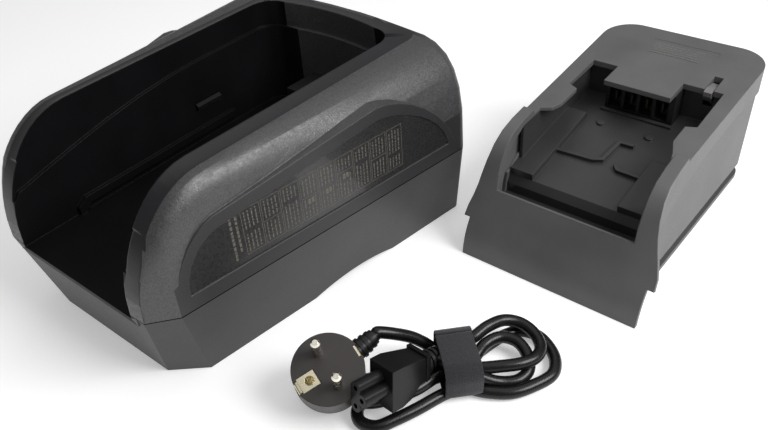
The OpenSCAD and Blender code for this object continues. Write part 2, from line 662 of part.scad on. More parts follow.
// Inward normal of the front surface at point i, for its thickness.
function front_normal(i) = let(
    p = front_curve[max(0, i - 1)], q = front_curve[min(len(front_curve) - 1, i + 1)],
    d = (q - p) / norm(q - p)) [d[1], -d[0]];
function front_back(i) = let(b = front_curve[i] + front_t * front_normal(i)) [b[0], max(0, b[1])];
function front_y_at(z) = lookup(z, [for (p = front_curve) [p[1], p[0]]]);

// Lower edge (y, z) of the cover, where the lower body starts.
crease = [[9, 23], [15, 26], [22, 36], [32, 46], [45, 53], [64, 60], [90, 65], [125, 68],
          [adapter_len + cut, 67]];

module adapter_plan(half_step, back, corner) {
    w = slab_half(adapter_len) - half_step;
    l = adapter_len - back;
    r = corner;
    polygon([[-slab_half(0) + half_step, -cut], [slab_half(0) - half_step, -cut], [w, l - r],
             [w - r, l], [r - w, l], [-w, l - r]]);
    for (s = [-1, 1]) translate([s * (w - r), l - r]) circle(r);
}

// Battery bay: plan of the opening in the cover's top, moved out by d.
tongue_y = 109.5;         // front edge of the tongue over the terminals
bay_rear_y = 128.5;
bay_left = 43.5;
bay_right = 42;
module bay_opening(y0) polygon([
    [-bay_left, y0], [-bay_left, 63.5], [-37.5, 67], [-35, 73.5], [-35, 93], [-41.6, 96],
    [-41.6, bay_rear_y], [-25, bay_rear_y], [-25, tongue_y], [17.7, tongue_y],
    [17.7, bay_rear_y], [bay_right, bay_rear_y], [bay_right, 89], [36, 86.5], [36, 70],
    [40, 60], [bay_right, 52], [bay_right, y0]]);
slab_t = 5;               // thickness of the slab round the bay

floor_y0 = 35.5;          // front edge of the bay floor
tray_t = 2.2;
tray_half = 45.6;
tray_wall_t = 1.8;
tray_front_y = floor_y0 - 3.2;
tray_rear_y = 133;
function bay_floor_z(y) = bay_front_z + (y - floor_y0) * tan(bay_slope);
module on_bay_floor() translate([0, floor_y0, bay_front_z]) rotate([bay_slope, 0, 0]) children();

// ---- adapter: mouldings ---------------------------------------------------------------

module front_flange() loft([for (i = [flange_from:len(front_curve) - 1])
    let(p = front_curve[i], q = front_back(i), x = flange_half[i - flange_from])
    [[bay_left - 0.5, p[0], p[1]], [x, p[0], p[1]], [x, q[0], q[1]], [bay_left - 0.5, q[0], q[1]]]]);
module front_plate(from, to) polygon(concat(
    [for (i = [from:to]) front_curve[i]], [for (i = [to:-1:from]) front_back(i)]));
catch_slot_x0 = 30.5;
catch_slot_x1 = 36;
catch_slot_y1 = 145;
label_y0 = 151;
label_y1 = 172;
module adapter_cover() color([0.16, 0.16, 0.17]) in_adapter() {
    difference() {
        union() {
            intersection() {
                along_x(-70, 70) polygon(concat(
                    [for (i = [len(crease) - 1:-1:1]) crease[i]],
                    [for (i = [6:len(front_curve) - 1]) front_back(i) - [0.4, 0]],
                    [[adapter_len + cut, top_z(adapter_len + cut)]]));
                linear_extrude(rim_z) adapter_plan(0, 0, adapter_corner_r);
            }
            along_x(-plate_low_w / 2, plate_low_w / 2) front_plate(0, flange_from);
            along_x(-bay_left, bay_left) front_plate(flange_from, 7);
            both_sides() front_flange();
        }
        // hollow under the slab
        intersection() {
            along_x(-70, 70) polygon(concat(
                [for (i = [len(crease) - 1:-1:2]) crease[i] - [0, cut]],
                [[23, 45], [28.5, 60], [35, 68], [45, top_z(45) - slab_t],
                 [adapter_len + cut, top_z(adapter_len + cut) - slab_t]]));
            linear_extrude(rim_z) adapter_plan(adapter_wall + 0.4, adapter_wall, adapter_corner_r - 2);
        }
        linear_extrude(rim_z) bay_opening(tray_front_y - 8);
        // trough ahead of the bay, open through the front of the slab
        block([-bay_left, front_y_at(front_top_z) + 2, front_top_z - 8], [bay_right, floor_y0 + 6, rim_z]);
        block([-tray_half - skin, trough_y0 - skin, trough_z - tray_t - skin],
              [tray_half + skin, floor_y0, front_top_z - 8 + skin]);
        // slot of the battery catch, and the recessed label field
        block([catch_slot_x0, bay_rear_y - cut, 60], [catch_slot_x1, catch_slot_y1, rim_z]);
        along_x(-20, 24) polygon([
            [label_y0, top_z(label_y0) - 0.5], [label_y1, top_z(label_y1) - 0.5],
            [label_y1, top_z(label_y1) + cut], [label_y0, top_z(label_y0) + cut]]);
    }
}

groove_z0 = 3.6;          // side grooves that take the guide rails
groove_z1 = 10.8;
groove_in = 3.2;
groove_y0 = rail_front_v + 1;
frame_rear_y = adapter_len - 27;
frame_screws = [[-41, 54], [41, 54], [-38, frame_rear_y], [38, frame_rear_y]];
frame_boss_r = 4;
frame_boss_z = 20;
module adapter_frame() color([0.14, 0.14, 0.15]) in_adapter() difference() {
    union() {
        difference() {
            frame_block(side_step, body_back);
            frame_block(side_step + adapter_wall, body_back + adapter_wall);
        }
        // inner wall behind each groove
        intersection() {
            frame_block(side_step, body_back);
            both_sides() along_x(body_half(0) - groove_in - adapter_wall, 60)
                polygon([[groove_y0 - 3, bottom_plate_t + skin], [adapter_len, bottom_plate_t + skin],
                         [adapter_len, groove_z1 + adapter_wall],
                         [groove_y0 - 3, groove_z1 + adapter_wall]]);
        }
        for (p = frame_screws) translate([p[0], p[1], bottom_plate_t + skin])
            cylinder(r = frame_boss_r, h = frame_boss_z - bottom_plate_t);
    }
    both_sides() difference() {
        along_x(body_half(0) - groove_in, 70) polygon([
            [groove_y0, groove_z0], [adapter_len, groove_z0], [adapter_len, groove_z1],
            [groove_y0, groove_z1]]);
        linear_extrude(rim_z) adapter_plan(side_step + groove_in, body_back + 1, body_corner_r - 2);
    }
    for (p = frame_screws) translate([p[0], p[1], 0]) cylinder(r = screw_r, h = frame_boss_z - 1);
    // room for the trough ahead of the bay
    block([-tray_half - skin, 0, trough_z - tray_t - skin],
          [tray_half + skin, tray_front_y + 14, rim_z]);
    // openings in the rear wall for the dock's blades, and the dimple of the detent
    for (x = blade_xs) block([x - 1.6, adapter_len - 20, blade_z - floor_z - blade_w / 2 - 1],
                             [x + 1.6, adapter_len, blade_z - floor_z + blade_w / 2 + 1]);
    block([-70, detent_v - detent_w / 2 - 1, detent_z - floor_z - 1],
          [-body_half(detent_v) + 1.6, detent_v + detent_w / 2 + 1, detent_z - floor_z + detent_h + 1]);
}
// Body below the cover's crease, pulled in by d at the sides and b at the rear.
frame_front_y = 23;
module frame_block(d, b) intersection() {
    along_x(-70, 70) polygon(concat(
        [[frame_front_y + d - side_step, bottom_plate_t + (d > side_step ? 0 : skin)]],
        [for (i = [3:len(crease) - 1])
            [max(crease[i][0], frame_front_y + d - side_step),
             crease[i][1] - skin + (d > side_step ? cut : 0)]],
        [[adapter_len, bottom_plate_t + (d > side_step ? 0 : skin)]]));
    linear_extrude(rim_z) adapter_plan(d, b, body_corner_r);
}

module adapter_bottom_plate() color([0.13, 0.13, 0.14]) in_adapter() difference() {
    union() {
        intersection() {
            block([-70, front_back(0)[0] + 0.4, 0], [70, adapter_len, bottom_plate_t]);
            linear_extrude(bottom_plate_t) adapter_plan(side_step, body_back, body_corner_r);
        }
        for (p = adapter_posts) translate([p[0], p[1], bottom_plate_t - skin])
            cylinder(r = post_r, h = adapter_board_z - bottom_plate_t + skin);
    }
    for (p = frame_screws) translate([p[0], p[1], -cut]) {
        cylinder(r = screw_head_r + 0.3, h = 2 + cut);
        cylinder(r = screw_r + 0.2, h = 10);
    }
    for (p = adapter_posts) translate([p[0], p[1], adapter_board_z - 6]) cylinder(r = 1, h = 10);
}
module adapter_screws() color([0.55, 0.55, 0.57]) in_adapter()
    for (p = frame_screws) translate([p[0], p[1], 0]) difference() {
        union() {
            translate([0, 0, 0.2]) cylinder(r = screw_head_r, h = 1.78);
            translate([0, 0, 1.9]) cylinder(r = screw_r - 0.05, h = frame_boss_z - 4.5);
        }
        block([-2, -0.4, -cut], [2, 0.4, 1.2]);
        block([-0.4, -2, -cut], [0.4, 2, 1.2]);
    }

// Raised rib on the bay floor, along a list of (x, y) points of the floor.
rib_w = 2.6;
rib_h = 2.4;
z_rib = [[-32, 66], [-8, 67.5], [-3, 70], [-1, 89], [8, 89.5]];
small_rib = [[6, 69], [9, 65.5], [25, 65]];
// Points beside a rib's middle line, off to its left, mitred at each bend.
function beside(p, off) = [for (i = [0:len(p) - 1]) let(
    from = unit(i == 0 ? p[1] - p[0] : p[i] - p[i - 1]),
    to = unit(i == len(p) - 1 ? from : p[i + 1] - p[i]),
    mid = unit(from + to)) p[i] + off / (mid * from) * [-mid[1], mid[0]]];
module floor_rib(points) {
    right = beside(points, -rib_w / 2);
    translate([0, -floor_y0, -0.5]) linear_extrude(rib_h + 0.5)
        polygon(concat(beside(points, rib_w / 2), [for (i = [len(right) - 1:-1:0]) right[i]]));
}
ledge_h = 4.5;
wall_y0 = 45.2;
trough_z = 33;            // trough between the front plate and the bay floor
trough_y0 = 17.5;
module bay_tray() color([0.11, 0.11, 0.12]) in_adapter() difference() {
    union() {
        // side ledges and ribs on the inclined floor
        on_bay_floor() {
            block([-tray_half, 0, -0.5], [-30.5, 68, ledge_h]);
            block([23.5, 0, -0.5], [tray_half, 44, ledge_h]);
            floor_rib(z_rib);
            floor_rib(small_rib);
            for (p = [[-20, 67], [12, 66.5]]) translate([p[0], p[1], -0.5]) cylinder(r = 2.6, h = 1.7);
            block([-27, 79.5, -0.5], [19.5, 82, 1.6]);
        }
        // inclined floor, front bar and the floor of the trough ahead of it
        along_x(-tray_half, tray_half) polygon([
            [tray_rear_y, bay_floor_z(tray_rear_y)], [floor_y0, bay_front_z],
            [tray_front_y, bay_front_z - 5], [tray_front_y, trough_z], [trough_y0, trough_z],
            [trough_y0, trough_z - tray_t], [tray_front_y + tray_t, trough_z - tray_t],
            [floor_y0 + tray_t, bay_floor_z(floor_y0 + tray_t) - tray_t],
            [tray_rear_y, bay_floor_z(tray_rear_y) - tray_t]]);
        // side and rear walls up to the slab
        for (s = [-1, 1]) along_x(s * (tray_half - tray_wall_t / 2) - tray_wall_t / 2,
                                  s * (tray_half - tray_wall_t / 2) + tray_wall_t / 2) polygon([
            [wall_y0, bay_floor_z(wall_y0) - 1], [tray_rear_y, bay_floor_z(tray_rear_y) - 1],
            [tray_rear_y, top_z(tray_rear_y) - slab_t - skin],
            [wall_y0, top_z(wall_y0) - slab_t - skin]]);
        along_x(-tray_half, tray_half) polygon([
            [tray_rear_y - tray_t, bay_floor_z(tray_rear_y) - 1],
            [tray_rear_y, bay_floor_z(tray_rear_y) - 1],
            [tray_rear_y, top_z(tray_rear_y) - slab_t - skin],
            [tray_rear_y - tray_t, top_z(tray_rear_y - tray_t) - slab_t - skin]]);
    }
    // seat of the terminal block and of the catch
    block([block_x0 - skin, block_y0 - skin, 0], [block_x1 + skin, adapter_len, rim_z]);
    block([catch_slot_x0, tray_rear_y - tray_t - cut, catch_top_z - 5 - catch_travel],
          [catch_slot_x1, adapter_len, rim_z]);
}

// Terminal block under the tongue: ribs with a blade terminal in each slot between them.
block_x0 = -26.2;
block_x1 = 18.2;
block_y0 = 118.5;
block_y1 = 132;
rib_pitch = 10.2;
slot_w = 8;
slot_in = 8;
blade_z_off = 9;          // height of the bay blades above the bay floor
module bay_terminal_block() color([0.09, 0.09, 0.10]) in_adapter() difference() {
    along_x(block_x0, block_x1) polygon([
        [block_y0, bay_floor_z(block_y0) - tray_t], [block_y1, bay_floor_z(block_y0) - tray_t],
        [block_y1, top_z(block_y1) - slab_t - skin], [block_y0, top_z(block_y0) - slab_t - skin]]);
    for (i = [0:3]) translate([block_x0 + 2.2 + i * rib_pitch, 0, 0]) {
        block([0, block_y0 - cut, bay_floor_z(block_y0) + 1.6], [slot_w, block_y0 + slot_in, rim_z]);
        block([slot_w / 2 - 0.55, 0, bay_floor_z(block_y0) + blade_z_off - 3.05],
              [slot_w / 2 + 0.55, adapter_len, bay_floor_z(block_y0) + blade_z_off + 3.05]);
    }
}
module bay_terminals() color([0.82, 0.70, 0.40]) in_adapter()
    for (i = [0:3]) translate([block_x0 + 2.2 + slot_w / 2 + i * rib_pitch, 0,
                               bay_floor_z(block_y0) + blade_z_off])
        block([-0.5, block_y0 + 2, -3], [0.5, block_y1 + 3, 3]);

adapter_board_z = 12;
adapter_board_half = 34;
adapter_board_y0 = 64;
adapter_board_y1 = adapter_len - 35;
post_inset = [4, 6];     // of the board's posts, from its sides and from its ends
adapter_posts = [for (s = [-1, 1], y = [adapter_board_y0 + post_inset[1], adapter_board_y1 - 10])
    [s * (adapter_board_half - post_inset[0]), y]];
chip_size = [16, 14, 2.4];
chip_y0 = 84;
module adapter_board() color([0.10, 0.32, 0.18]) in_adapter() difference() {
    union() {
        block([-adapter_board_half, adapter_board_y0, adapter_board_z],
              [adapter_board_half, adapter_board_y1, adapter_board_z + board_t]);
        translate([-chip_size[0] / 2, chip_y0, adapter_board_z + board_t - 0.01]) cube(chip_size);
        for (x = [-22, 20]) translate([x, 112, adapter_board_z + board_t - 0.01]) cylinder(r = 4, h = 10);
    }
    for (p = adapter_posts) translate([p[0], p[1], adapter_board_z - cut]) cylinder(r = 1.6, h = 5);
}

// Blade sockets behind the rear wall of the lower body.
socket_y0 = adapter_len - body_back - adapter_wall - 10;
module dock_sockets() color([0.09, 0.09, 0.10]) in_adapter() difference() {
    block([-20, socket_y0, bottom_plate_t + 0.1],
          [20, adapter_len - body_back - adapter_wall - 0.02, blade_z - floor_z + blade_w / 2 + 3]);
    for (x = blade_xs) block([x - 0.8, socket_y0 + 2, blade_z - floor_z - blade_w / 2 - 0.5],
                             [x + 0.8, adapter_len, blade_z - floor_z + blade_w / 2 + 0.5]);
}
bay_wire_y = adapter_board_y1 - 8;     // where the wires stand on the adapter's board
dock_wire_y = adapter_board_y1 - 4;
socket_z = blade_z - floor_z;
board_top = adapter_board_z + board_t + wire_foot;
module adapter_wires() color([0.60, 0.10, 0.10]) in_adapter() {
    for (i = [0, 3]) let(x = block_x0 + 2.2 + slot_w / 2 + i * rib_pitch,
                         z = bay_floor_z(block_y0) + blade_z_off)
        tube([[x, block_y1 + 4, z + 3], [x, block_y1 + 4, z - 6], [x, block_y1 + 4, 40],
              [x, bay_wire_y - 2, 26], [x, bay_wire_y, board_top + 4], [x, bay_wire_y, board_top]],
             wire_d, 8);
    for (x = [blade_xs[0], blade_xs[2]])
        tube([[x, dock_wire_y, board_top], [x, dock_wire_y, board_top + 4],
              [x, dock_wire_y + 4, socket_z + 7], [x, socket_y0 - 9, socket_z + 5],
              [x, socket_y0 - 4, socket_z], [x, socket_y0 - wire_foot, socket_z]], wire_d, 8);
}

// Battery catch: a sprung nub that stands out of the slot beside the terminals.
catch_w = catch_slot_x1 - catch_slot_x0 - 2 * run_gap;
catch_nose = 2;          // the catch's nose stands this far into the bay
catch_travel = 3;
catch_flange = 1.2;
catch_top_z = top_z(bay_rear_y) - slab_t;
module battery_catch() color([0.18, 0.18, 0.19]) in_adapter()
    translate([(catch_slot_x0 + catch_slot_x1) / 2, 0, 0]) {
        along_x(-catch_w / 2, catch_w / 2) polygon([
            [bay_rear_y - catch_nose, catch_top_z], [bay_rear_y + 1, catch_top_z - 4],
            [bay_rear_y + 14, catch_top_z - 4], [bay_rear_y + 14, catch_top_z + 1.5],
            [bay_rear_y + 2, catch_top_z + slab_t - 0.8],
            [bay_rear_y - catch_nose, catch_top_z + slab_t - 2.2]]);
        block([-catch_w / 2 - catch_flange, tray_rear_y + run_gap, catch_top_z - 4],
              [catch_w / 2 + catch_flange, bay_rear_y + 14, catch_top_z - 0.4]);
    }
catch_spring_z0 = 60;
module catch_spring() color([0.70, 0.70, 0.72]) in_adapter()
    translate([(catch_slot_x0 + catch_slot_x1) / 2, bay_rear_y + 10, catch_spring_z0])
        coil_spring(spring_r, spring_wire, catch_top_z - 4 - catch_spring_z0 - 0.1, 7);

// ---- mains lead: plug -----------------------------------------------------------------
// Two-pin earthed plug with a side cord entry; its frame has the face at z = 0, pins along +Z.

plug_at = [135.4, -66.3, 28.2];
plug_turn = [0, 28, -45];
pin_turn = 26;            // turn of the pin line in the face
cord_turn = 99;           // cord entry, measured from the pin line
module in_plug() translate(plug_at) rotate(plug_turn) rotate([0, 0, pin_turn]) children();

pin_root = 9;             // thinner root of a pin, moulded into the plug
pin_root_d = pin_d - 0.8;
pin_tip = 1.2;            // tapered tip of a pin
plug_rim_t = 8;           // straight part of the plug behind its face
plug_back_r = 20;
plug_back_c = 9;          // centre of the rounded back, behind the face
clip_w = 6;
clip_t = 1;
clip_len = 7.4;
earth_len = 15;
clip_seat = plug_face_d / 2 - 2.2;
earth_y = -10.5;          // earth socket on the side away from the cord
earth_r = 3.4;
earth_bore = 2.4;
relief_in = 8.5;          // part of the strain relief that sits inside the plug
relief_len = 20;
relief_from = 10;
relief_z = -13;
module at_cord_entry() rotate([0, 0, cord_turn]) translate([relief_from, 0, relief_z])
    rotate([0, 90, 0]) children();

module plug_body() color([0.13, 0.13, 0.14]) in_plug() difference() {
    intersection() {
        union() {
            translate([0, 0, -plug_rim_t]) cylinder(d = plug_face_d, h = plug_rim_t);
            translate([0, 0, -plug_back_c]) sphere(r = plug_back_r, $fn = 96);
        }
        translate([0, 0, -2 * plug_back_r]) cylinder(d = plug_face_d, h = 2 * plug_back_r);
    }
    for (s = [-1, 1]) translate([s * pin_pitch / 2, 0, -pin_root])
        cylinder(d = pin_root_d, h = pin_root + cut);
    for (s = [0, 1]) mirror([0, s, 0])
        block([-clip_w / 2 - 0.3, clip_seat, -clip_len - 0.3], [clip_w / 2 + 0.3, plug_face_d, cut]);
    translate([0, earth_y, -earth_len]) cylinder(r = earth_r, h = earth_len + cut);
    block([-4.2, -clip_seat - 0.1, -1], [4.2, earth_y + 4.2, cut]);
    at_cord_entry() cylinder(r = relief_r0, h = plug_face_d);
}
module plug_pins() color([0.86, 0.84, 0.76]) in_plug()
    for (s = [-1, 1]) translate([s * pin_pitch / 2, 0, 0]) {
        translate([0, 0, -pin_root]) cylinder(d = pin_root_d, h = pin_root + cut);
        cylinder(d = pin_d, h = pin_len - pin_tip);
        translate([0, 0, pin_len - pin_tip]) cylinder(d1 = pin_d, d2 = pin_d - 2, h = pin_tip);
    }
module plug_earth_clips() color([0.88, 0.84, 0.70]) in_plug()
    for (s = [0, 1]) mirror([0, s, 0]) {
        block([-clip_w / 2, clip_seat, -clip_len], [clip_w / 2, clip_seat + clip_t, -0.2]);
        translate([-clip_w / 2, clip_seat + clip_t - 0.2, -clip_len / 2]) rotate([0, 90, 0])
            intersection() {
                cylinder(r = 1.1, h = clip_w);
                translate([-2, 0, 0]) cube([4, 2, clip_w]);
            }
    }
module plug_earth_socket() color([0.88, 0.84, 0.70]) in_plug() difference() {
    union() {
        translate([0, earth_y, -earth_len]) cylinder(r = earth_r, h = earth_len - 1);
        block([-4, -clip_seat + 0.1, -1], [4, earth_y + 4, -0.1]);
    }
    translate([0, earth_y, -earth_len + 1]) cylinder(r = earth_bore, h = earth_len + cut);
}
relief_r0 = 5.2;
relief_r1 = cord_d / 2 + 0.9;
relief_rings = 3;
module plug_strain_relief() color([0.06, 0.06, 0.06]) in_plug() at_cord_entry() rotate_extrude() {
    polygon([[0, 0], [relief_r0, 0], [relief_r0, relief_in], [relief_r1, relief_len], [0, relief_len]]);
    for (i = [0:relief_rings - 1]) translate([0, relief_in + 1.6 + i * 3.2])
        square([relief_r0 + 0.5 - i * 0.4, 1.6]);
}

// ---- mains lead: cord, hank and strap -------------------------------------------------

// Point on the strain relief's axis, at a distance past its tip.
function past_relief(d) = plug_at + rotated(plug_turn, [
    (relief_from + relief_len + d) * cos(pin_turn + cord_turn),
    (relief_from + relief_len + d) * sin(pin_turn + cord_turn), relief_z]);
// Vector p turned about X, then Y, then Z by the angles a.
function rotated(a, p) = let(
    x = [p[0], p[1] * cos(a[0]) - p[2] * sin(a[0]), p[1] * sin(a[0]) + p[2] * cos(a[0])],
    y = [x[0] * cos(a[1]) + x[2] * sin(a[1]), x[1], -x[0] * sin(a[1]) + x[2] * cos(a[1])])
    [y[0] * cos(a[2]) - y[1] * sin(a[2]), y[0] * sin(a[2]) + y[1] * cos(a[2]), y[2]];
// Route of the free stretch of cord, from the plug's strain relief to the hank.
run_points = [[143.5, -25, 22.5], [149, -18, 17.5], [154, -13.5, 12.5], [159, -10.5, 8.5]];
module lead_run() color([0.05, 0.05, 0.05])
    tube(concat([past_relief(wire_foot)], spline(concat([past_relief(1.5), past_relief(3)], run_points), 2)),
         cord_d, 12);

strap_at = [175, -13, 0];
strap_turn = 46;          // direction of the bundle through the strap
strap_w = 19.4;
strap_t = 1.6;
bundle_w = 33;            // bundle of cord inside the strap
bundle_h = 18.4;
bundle_len = 22;
module in_strap() translate(strap_at) rotate([0, 0, strap_turn]) children();
module bundle_section(d, len) translate([-len / 2, 0, strap_t + skin + bundle_h / 2])
    rotate([90, 0, 90]) linear_extrude(len) {
        square([bundle_w - 12 + 2 * d, bundle_h + 2 * d], center = true);
        square([bundle_w + 2 * d, bundle_h - 12 + 2 * d], center = true);
        for (x = [-1, 1], y = [-1, 1]) translate([x * (bundle_w / 2 - 6), y * (bundle_h / 2 - 6)])
            circle(r = 6 + d);
    }
bight_end = [154, -61];   // far end of the two short bights
bight_r = 8;
loop_at = [192, 11];      // middle of the long loops
loop_r = 24;
loop_h = 14;
module lead_hank() color([0.05, 0.05, 0.05]) {
    in_strap() bundle_section(0, bundle_len);
    difference() {
        linear_extrude(cord_d) hull() {
            translate(bight_end) circle(r = bight_r);
            translate([177, -27]) circle(r = 8);
        }
        in_strap() block([-strap_w / 2 - 0.2, -60, -cut], [60, 60, 40]);
    }
    difference() {
        linear_extrude(loop_h) hull() {
            translate(loop_at) circle(r = loop_r);
            translate([178, -6]) circle(r = 13);
        }
        in_strap() block([-60, -60, -cut], [strap_w / 2 + 0.2, 60, 40]);
    }
}
module lead_strap() color([0.10, 0.10, 0.10]) in_strap() difference() {
    bundle_section(strap_t + skin, strap_w);
    bundle_section(skin, strap_w + 2 * cut);
}

// ---- mains lead: appliance connector --------------------------------------------------
// Its frame: y = 0 at the front of the grip, nose along -Y, cord along +Y.

connector_at = [159.4, -55.3, 21.8];
connector_turn = [-12, -8.5, -8];
module in_connector() translate(connector_at) rotate(connector_turn) children();
nose_len = 15;
nose_r = 3.4;
nose_lobes = [[-1.6, 5], [-1.6, -5], [2.9, 0]];
grip_w = 16.5;
grip_h = 23.2;
grip_len = 24;
grip_back_w = 12.6;
grip_back_h = 16.6;
collar_w = 15;
collar_h = 19;
collar_t = 2.4;
boot_len = 13.8;
contact_r = 1.25;
module nose_section(d) {
    for (p = nose_lobes) translate(p) circle(r = nose_r + d);
    polygon([[-1.6 - nose_r - d, 5], [-1.6 - nose_r - d, -5], [0, -5], [2.9, 0], [0, 5]]);
}
module connector_body() color([0.07, 0.07, 0.07]) in_connector() difference() {
    union() {
        rotate([90, 0, 0]) translate([0, 0, -skin]) linear_extrude(nose_len + skin)
            mirror([0, 1, 0]) nose_section(0);
        hull() {
            translate([-grip_w / 2, 0, -grip_h / 2]) cube([grip_w, 7, grip_h]);
            translate([-grip_back_w / 2, grip_len - 0.5, -grip_back_h / 2])
                cube([grip_back_w, 0.5, grip_back_h]);
        }
        block([-collar_w / 2, grip_len - skin, -collar_h / 2],
              [collar_w / 2, grip_len + collar_t, collar_h / 2]);
    }
    for (p = nose_lobes) translate([p[0], 0, p[1]]) rotate([90, 0, 0])
        translate([0, 0, -2]) cylinder(r = contact_r + skin, h = nose_len + 3);
}
module connector_contacts() color([0.82, 0.74, 0.45]) in_connector()
    for (p = nose_lobes) translate([p[0], 1.9, p[1]]) rotate([90, 0, 0]) difference() {
        cylinder(r = contact_r, h = nose_len - 1, $fn = 24);
        translate([0, 0, 3]) cylinder(r = contact_r - 0.35, h = nose_len, $fn = 24);
    }
boot_r0 = 5.6;
boot_r1 = 4.2;
boot_ribs = 4;
module connector_boot() color([0.05, 0.05, 0.05]) in_connector()
    translate([0, grip_len + collar_t + 0.02, 0]) rotate([-90, 0, 0]) rotate_extrude() {
        polygon([[0, 0], [boot_r0, 0], [boot_r1, boot_len], [0, boot_len]]);
        for (i = [0:boot_ribs - 1]) translate([0, 1.4 + i * 3.2]) square([boot_r0 + 0.8 - i * 0.3, 1.6]);
    }

base_upper_shell();
base_lower_shell();
right_label_panel();
left_label_panel();
anti_slip_pads();
base_screws();
mains_inlet();
inlet_pins();
charger_board();
transformer_core();
transformer_coil();
capacitors();
heat_sink();
power_transistors();
mains_fuse();
noise_choke();
indicator_lights();
inlet_wires();
dock_terminal_block();
dock_contacts();
dock_wires();
detent_button();
detent_spring();
adapter_cover();
bay_tray();
adapter_frame();
adapter_bottom_plate();
bay_terminal_block();
bay_terminals();
adapter_board();
adapter_wires();
dock_sockets();
battery_catch();
catch_spring();
adapter_screws();
plug_body();
plug_pins();
plug_earth_clips();
plug_earth_socket();
plug_strain_relief();
lead_run();
lead_hank();
lead_strap();
connector_body();
connector_boot();
connector_contacts();
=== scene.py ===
"""Dresses the battery charger: base, adapter and mains lead, in moulded plastic, metal and cord.

Lengths are in millimetres unless a name or comment says metres. In the row frame the base's
middle is at x = 0, its front at y = -BASE_LEN / 2, and the table at z = 0. The letter v stands
for the distance behind the base's front edge.
"""
import math
import random

import bmesh
import bpy
from mathutils import Matrix, Vector


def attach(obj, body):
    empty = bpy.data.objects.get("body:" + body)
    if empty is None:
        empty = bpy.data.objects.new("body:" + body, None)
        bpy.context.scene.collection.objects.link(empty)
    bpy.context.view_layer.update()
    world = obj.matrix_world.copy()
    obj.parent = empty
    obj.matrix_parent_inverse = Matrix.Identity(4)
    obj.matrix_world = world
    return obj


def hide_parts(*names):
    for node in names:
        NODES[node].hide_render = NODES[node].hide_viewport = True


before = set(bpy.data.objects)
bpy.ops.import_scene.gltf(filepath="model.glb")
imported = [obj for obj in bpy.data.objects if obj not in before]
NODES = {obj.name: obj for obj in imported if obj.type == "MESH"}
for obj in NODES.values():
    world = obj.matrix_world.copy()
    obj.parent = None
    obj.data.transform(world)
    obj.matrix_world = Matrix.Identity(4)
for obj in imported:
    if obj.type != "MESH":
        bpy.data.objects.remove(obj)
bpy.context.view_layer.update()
MM = 0.001


def mm(*p):
    """A point given in millimetres, in metres."""
    return Vector(p) * MM


# ---- camera ---------------------------------------------------------------------------

CAMERA_AT = mm(329.2, -240.1, 318.3)
CAMERA_BACK = Vector((0.520, -0.599, 0.609)).normalized()
CAMERA_RIGHT = Vector((0.781, 0.622, -0.055))
CAMERA_LENS = 36.77
CAMERA_SENSOR = 36
CAMERA_NEAR_M = 0.01


def make_camera():
    """The photo's view: one camera fitted to the base and the adapter."""
    data = bpy.data.cameras.new("camera")
    data.lens = CAMERA_LENS
    data.sensor_width = CAMERA_SENSOR
    data.clip_start = CAMERA_NEAR_M
    camera = bpy.data.objects.new("camera", data)
    right = (CAMERA_RIGHT - CAMERA_BACK * CAMERA_RIGHT.dot(CAMERA_BACK)).normalized()
    up = CAMERA_BACK.cross(right)
    camera.matrix_world = (Matrix.Translation(CAMERA_AT)
                           @ Matrix((right, up, CAMERA_BACK)).transposed().to_4x4())
    bpy.context.scene.collection.objects.link(camera)
    bpy.context.scene.camera = camera


make_camera()

# ---- mesh helpers ---------------------------------------------------------------------


def add_object(name, data, body):
    """Puts a new object in the scene and lets it move with a body."""
    obj = bpy.data.objects.new(name, data)
    bpy.context.scene.collection.objects.link(obj)
    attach(obj, body)
    return obj


def mesh_object(name, bm, body, smooth=True):
    """Turns a bmesh into an object that moves with a body, and frees the bmesh."""
    bmesh.ops.recalc_face_normals(bm, faces=bm.faces)
    mesh = bpy.data.meshes.new(name)
    bm.to_mesh(mesh)
    bm.free()
    for p in mesh.polygons:
        p.use_smooth = smooth
    return add_object(name, mesh, body)


def tube_faces(bm, rings):
    """Quads between closed rings of vertices, and a flat face on both ends."""
    n = len(rings[0])
    for a, b in zip(rings, rings[1:]):
        for i in range(n):
            j = (i + 1) % n
            bm.faces.new((a[i], a[j], b[j], b[i]))
    bm.faces.new(list(reversed(rings[0])))
    bm.faces.new(rings[-1])


def arc(centre, radius, start, stop, steps):
    """Points (x, y) on an arc, angles in degrees."""
    turns = [math.radians(start + (stop - start) * i / steps) for i in range(steps + 1)]
    return [(centre[0] + radius * math.cos(t), centre[1] + radius * math.sin(t)) for t in turns]


# ---- mains lead: the cord -------------------------------------------------------------

CORD_D = 6.6
CORD_BEVEL = 8           # how finely the curve's round section is divided
CORD_STEPS = 6           # straight pieces between two given points
BUNDLE_AT = (175.0, -13.0)
BUNDLE_TURN = math.radians(46)
BUNDLE_ALONG = Vector((math.cos(BUNDLE_TURN), math.sin(BUNDLE_TURN), 0))
BUNDLE_ACROSS = Vector((math.sin(BUNDLE_TURN), -math.cos(BUNDLE_TURN), 0))


def in_bundle(along, across, z):
    """Row-frame point from a place given along and across the strapped bundle."""
    return tuple(Vector((*BUNDLE_AT, z)) + along * BUNDLE_ALONG + across * BUNDLE_ACROSS)


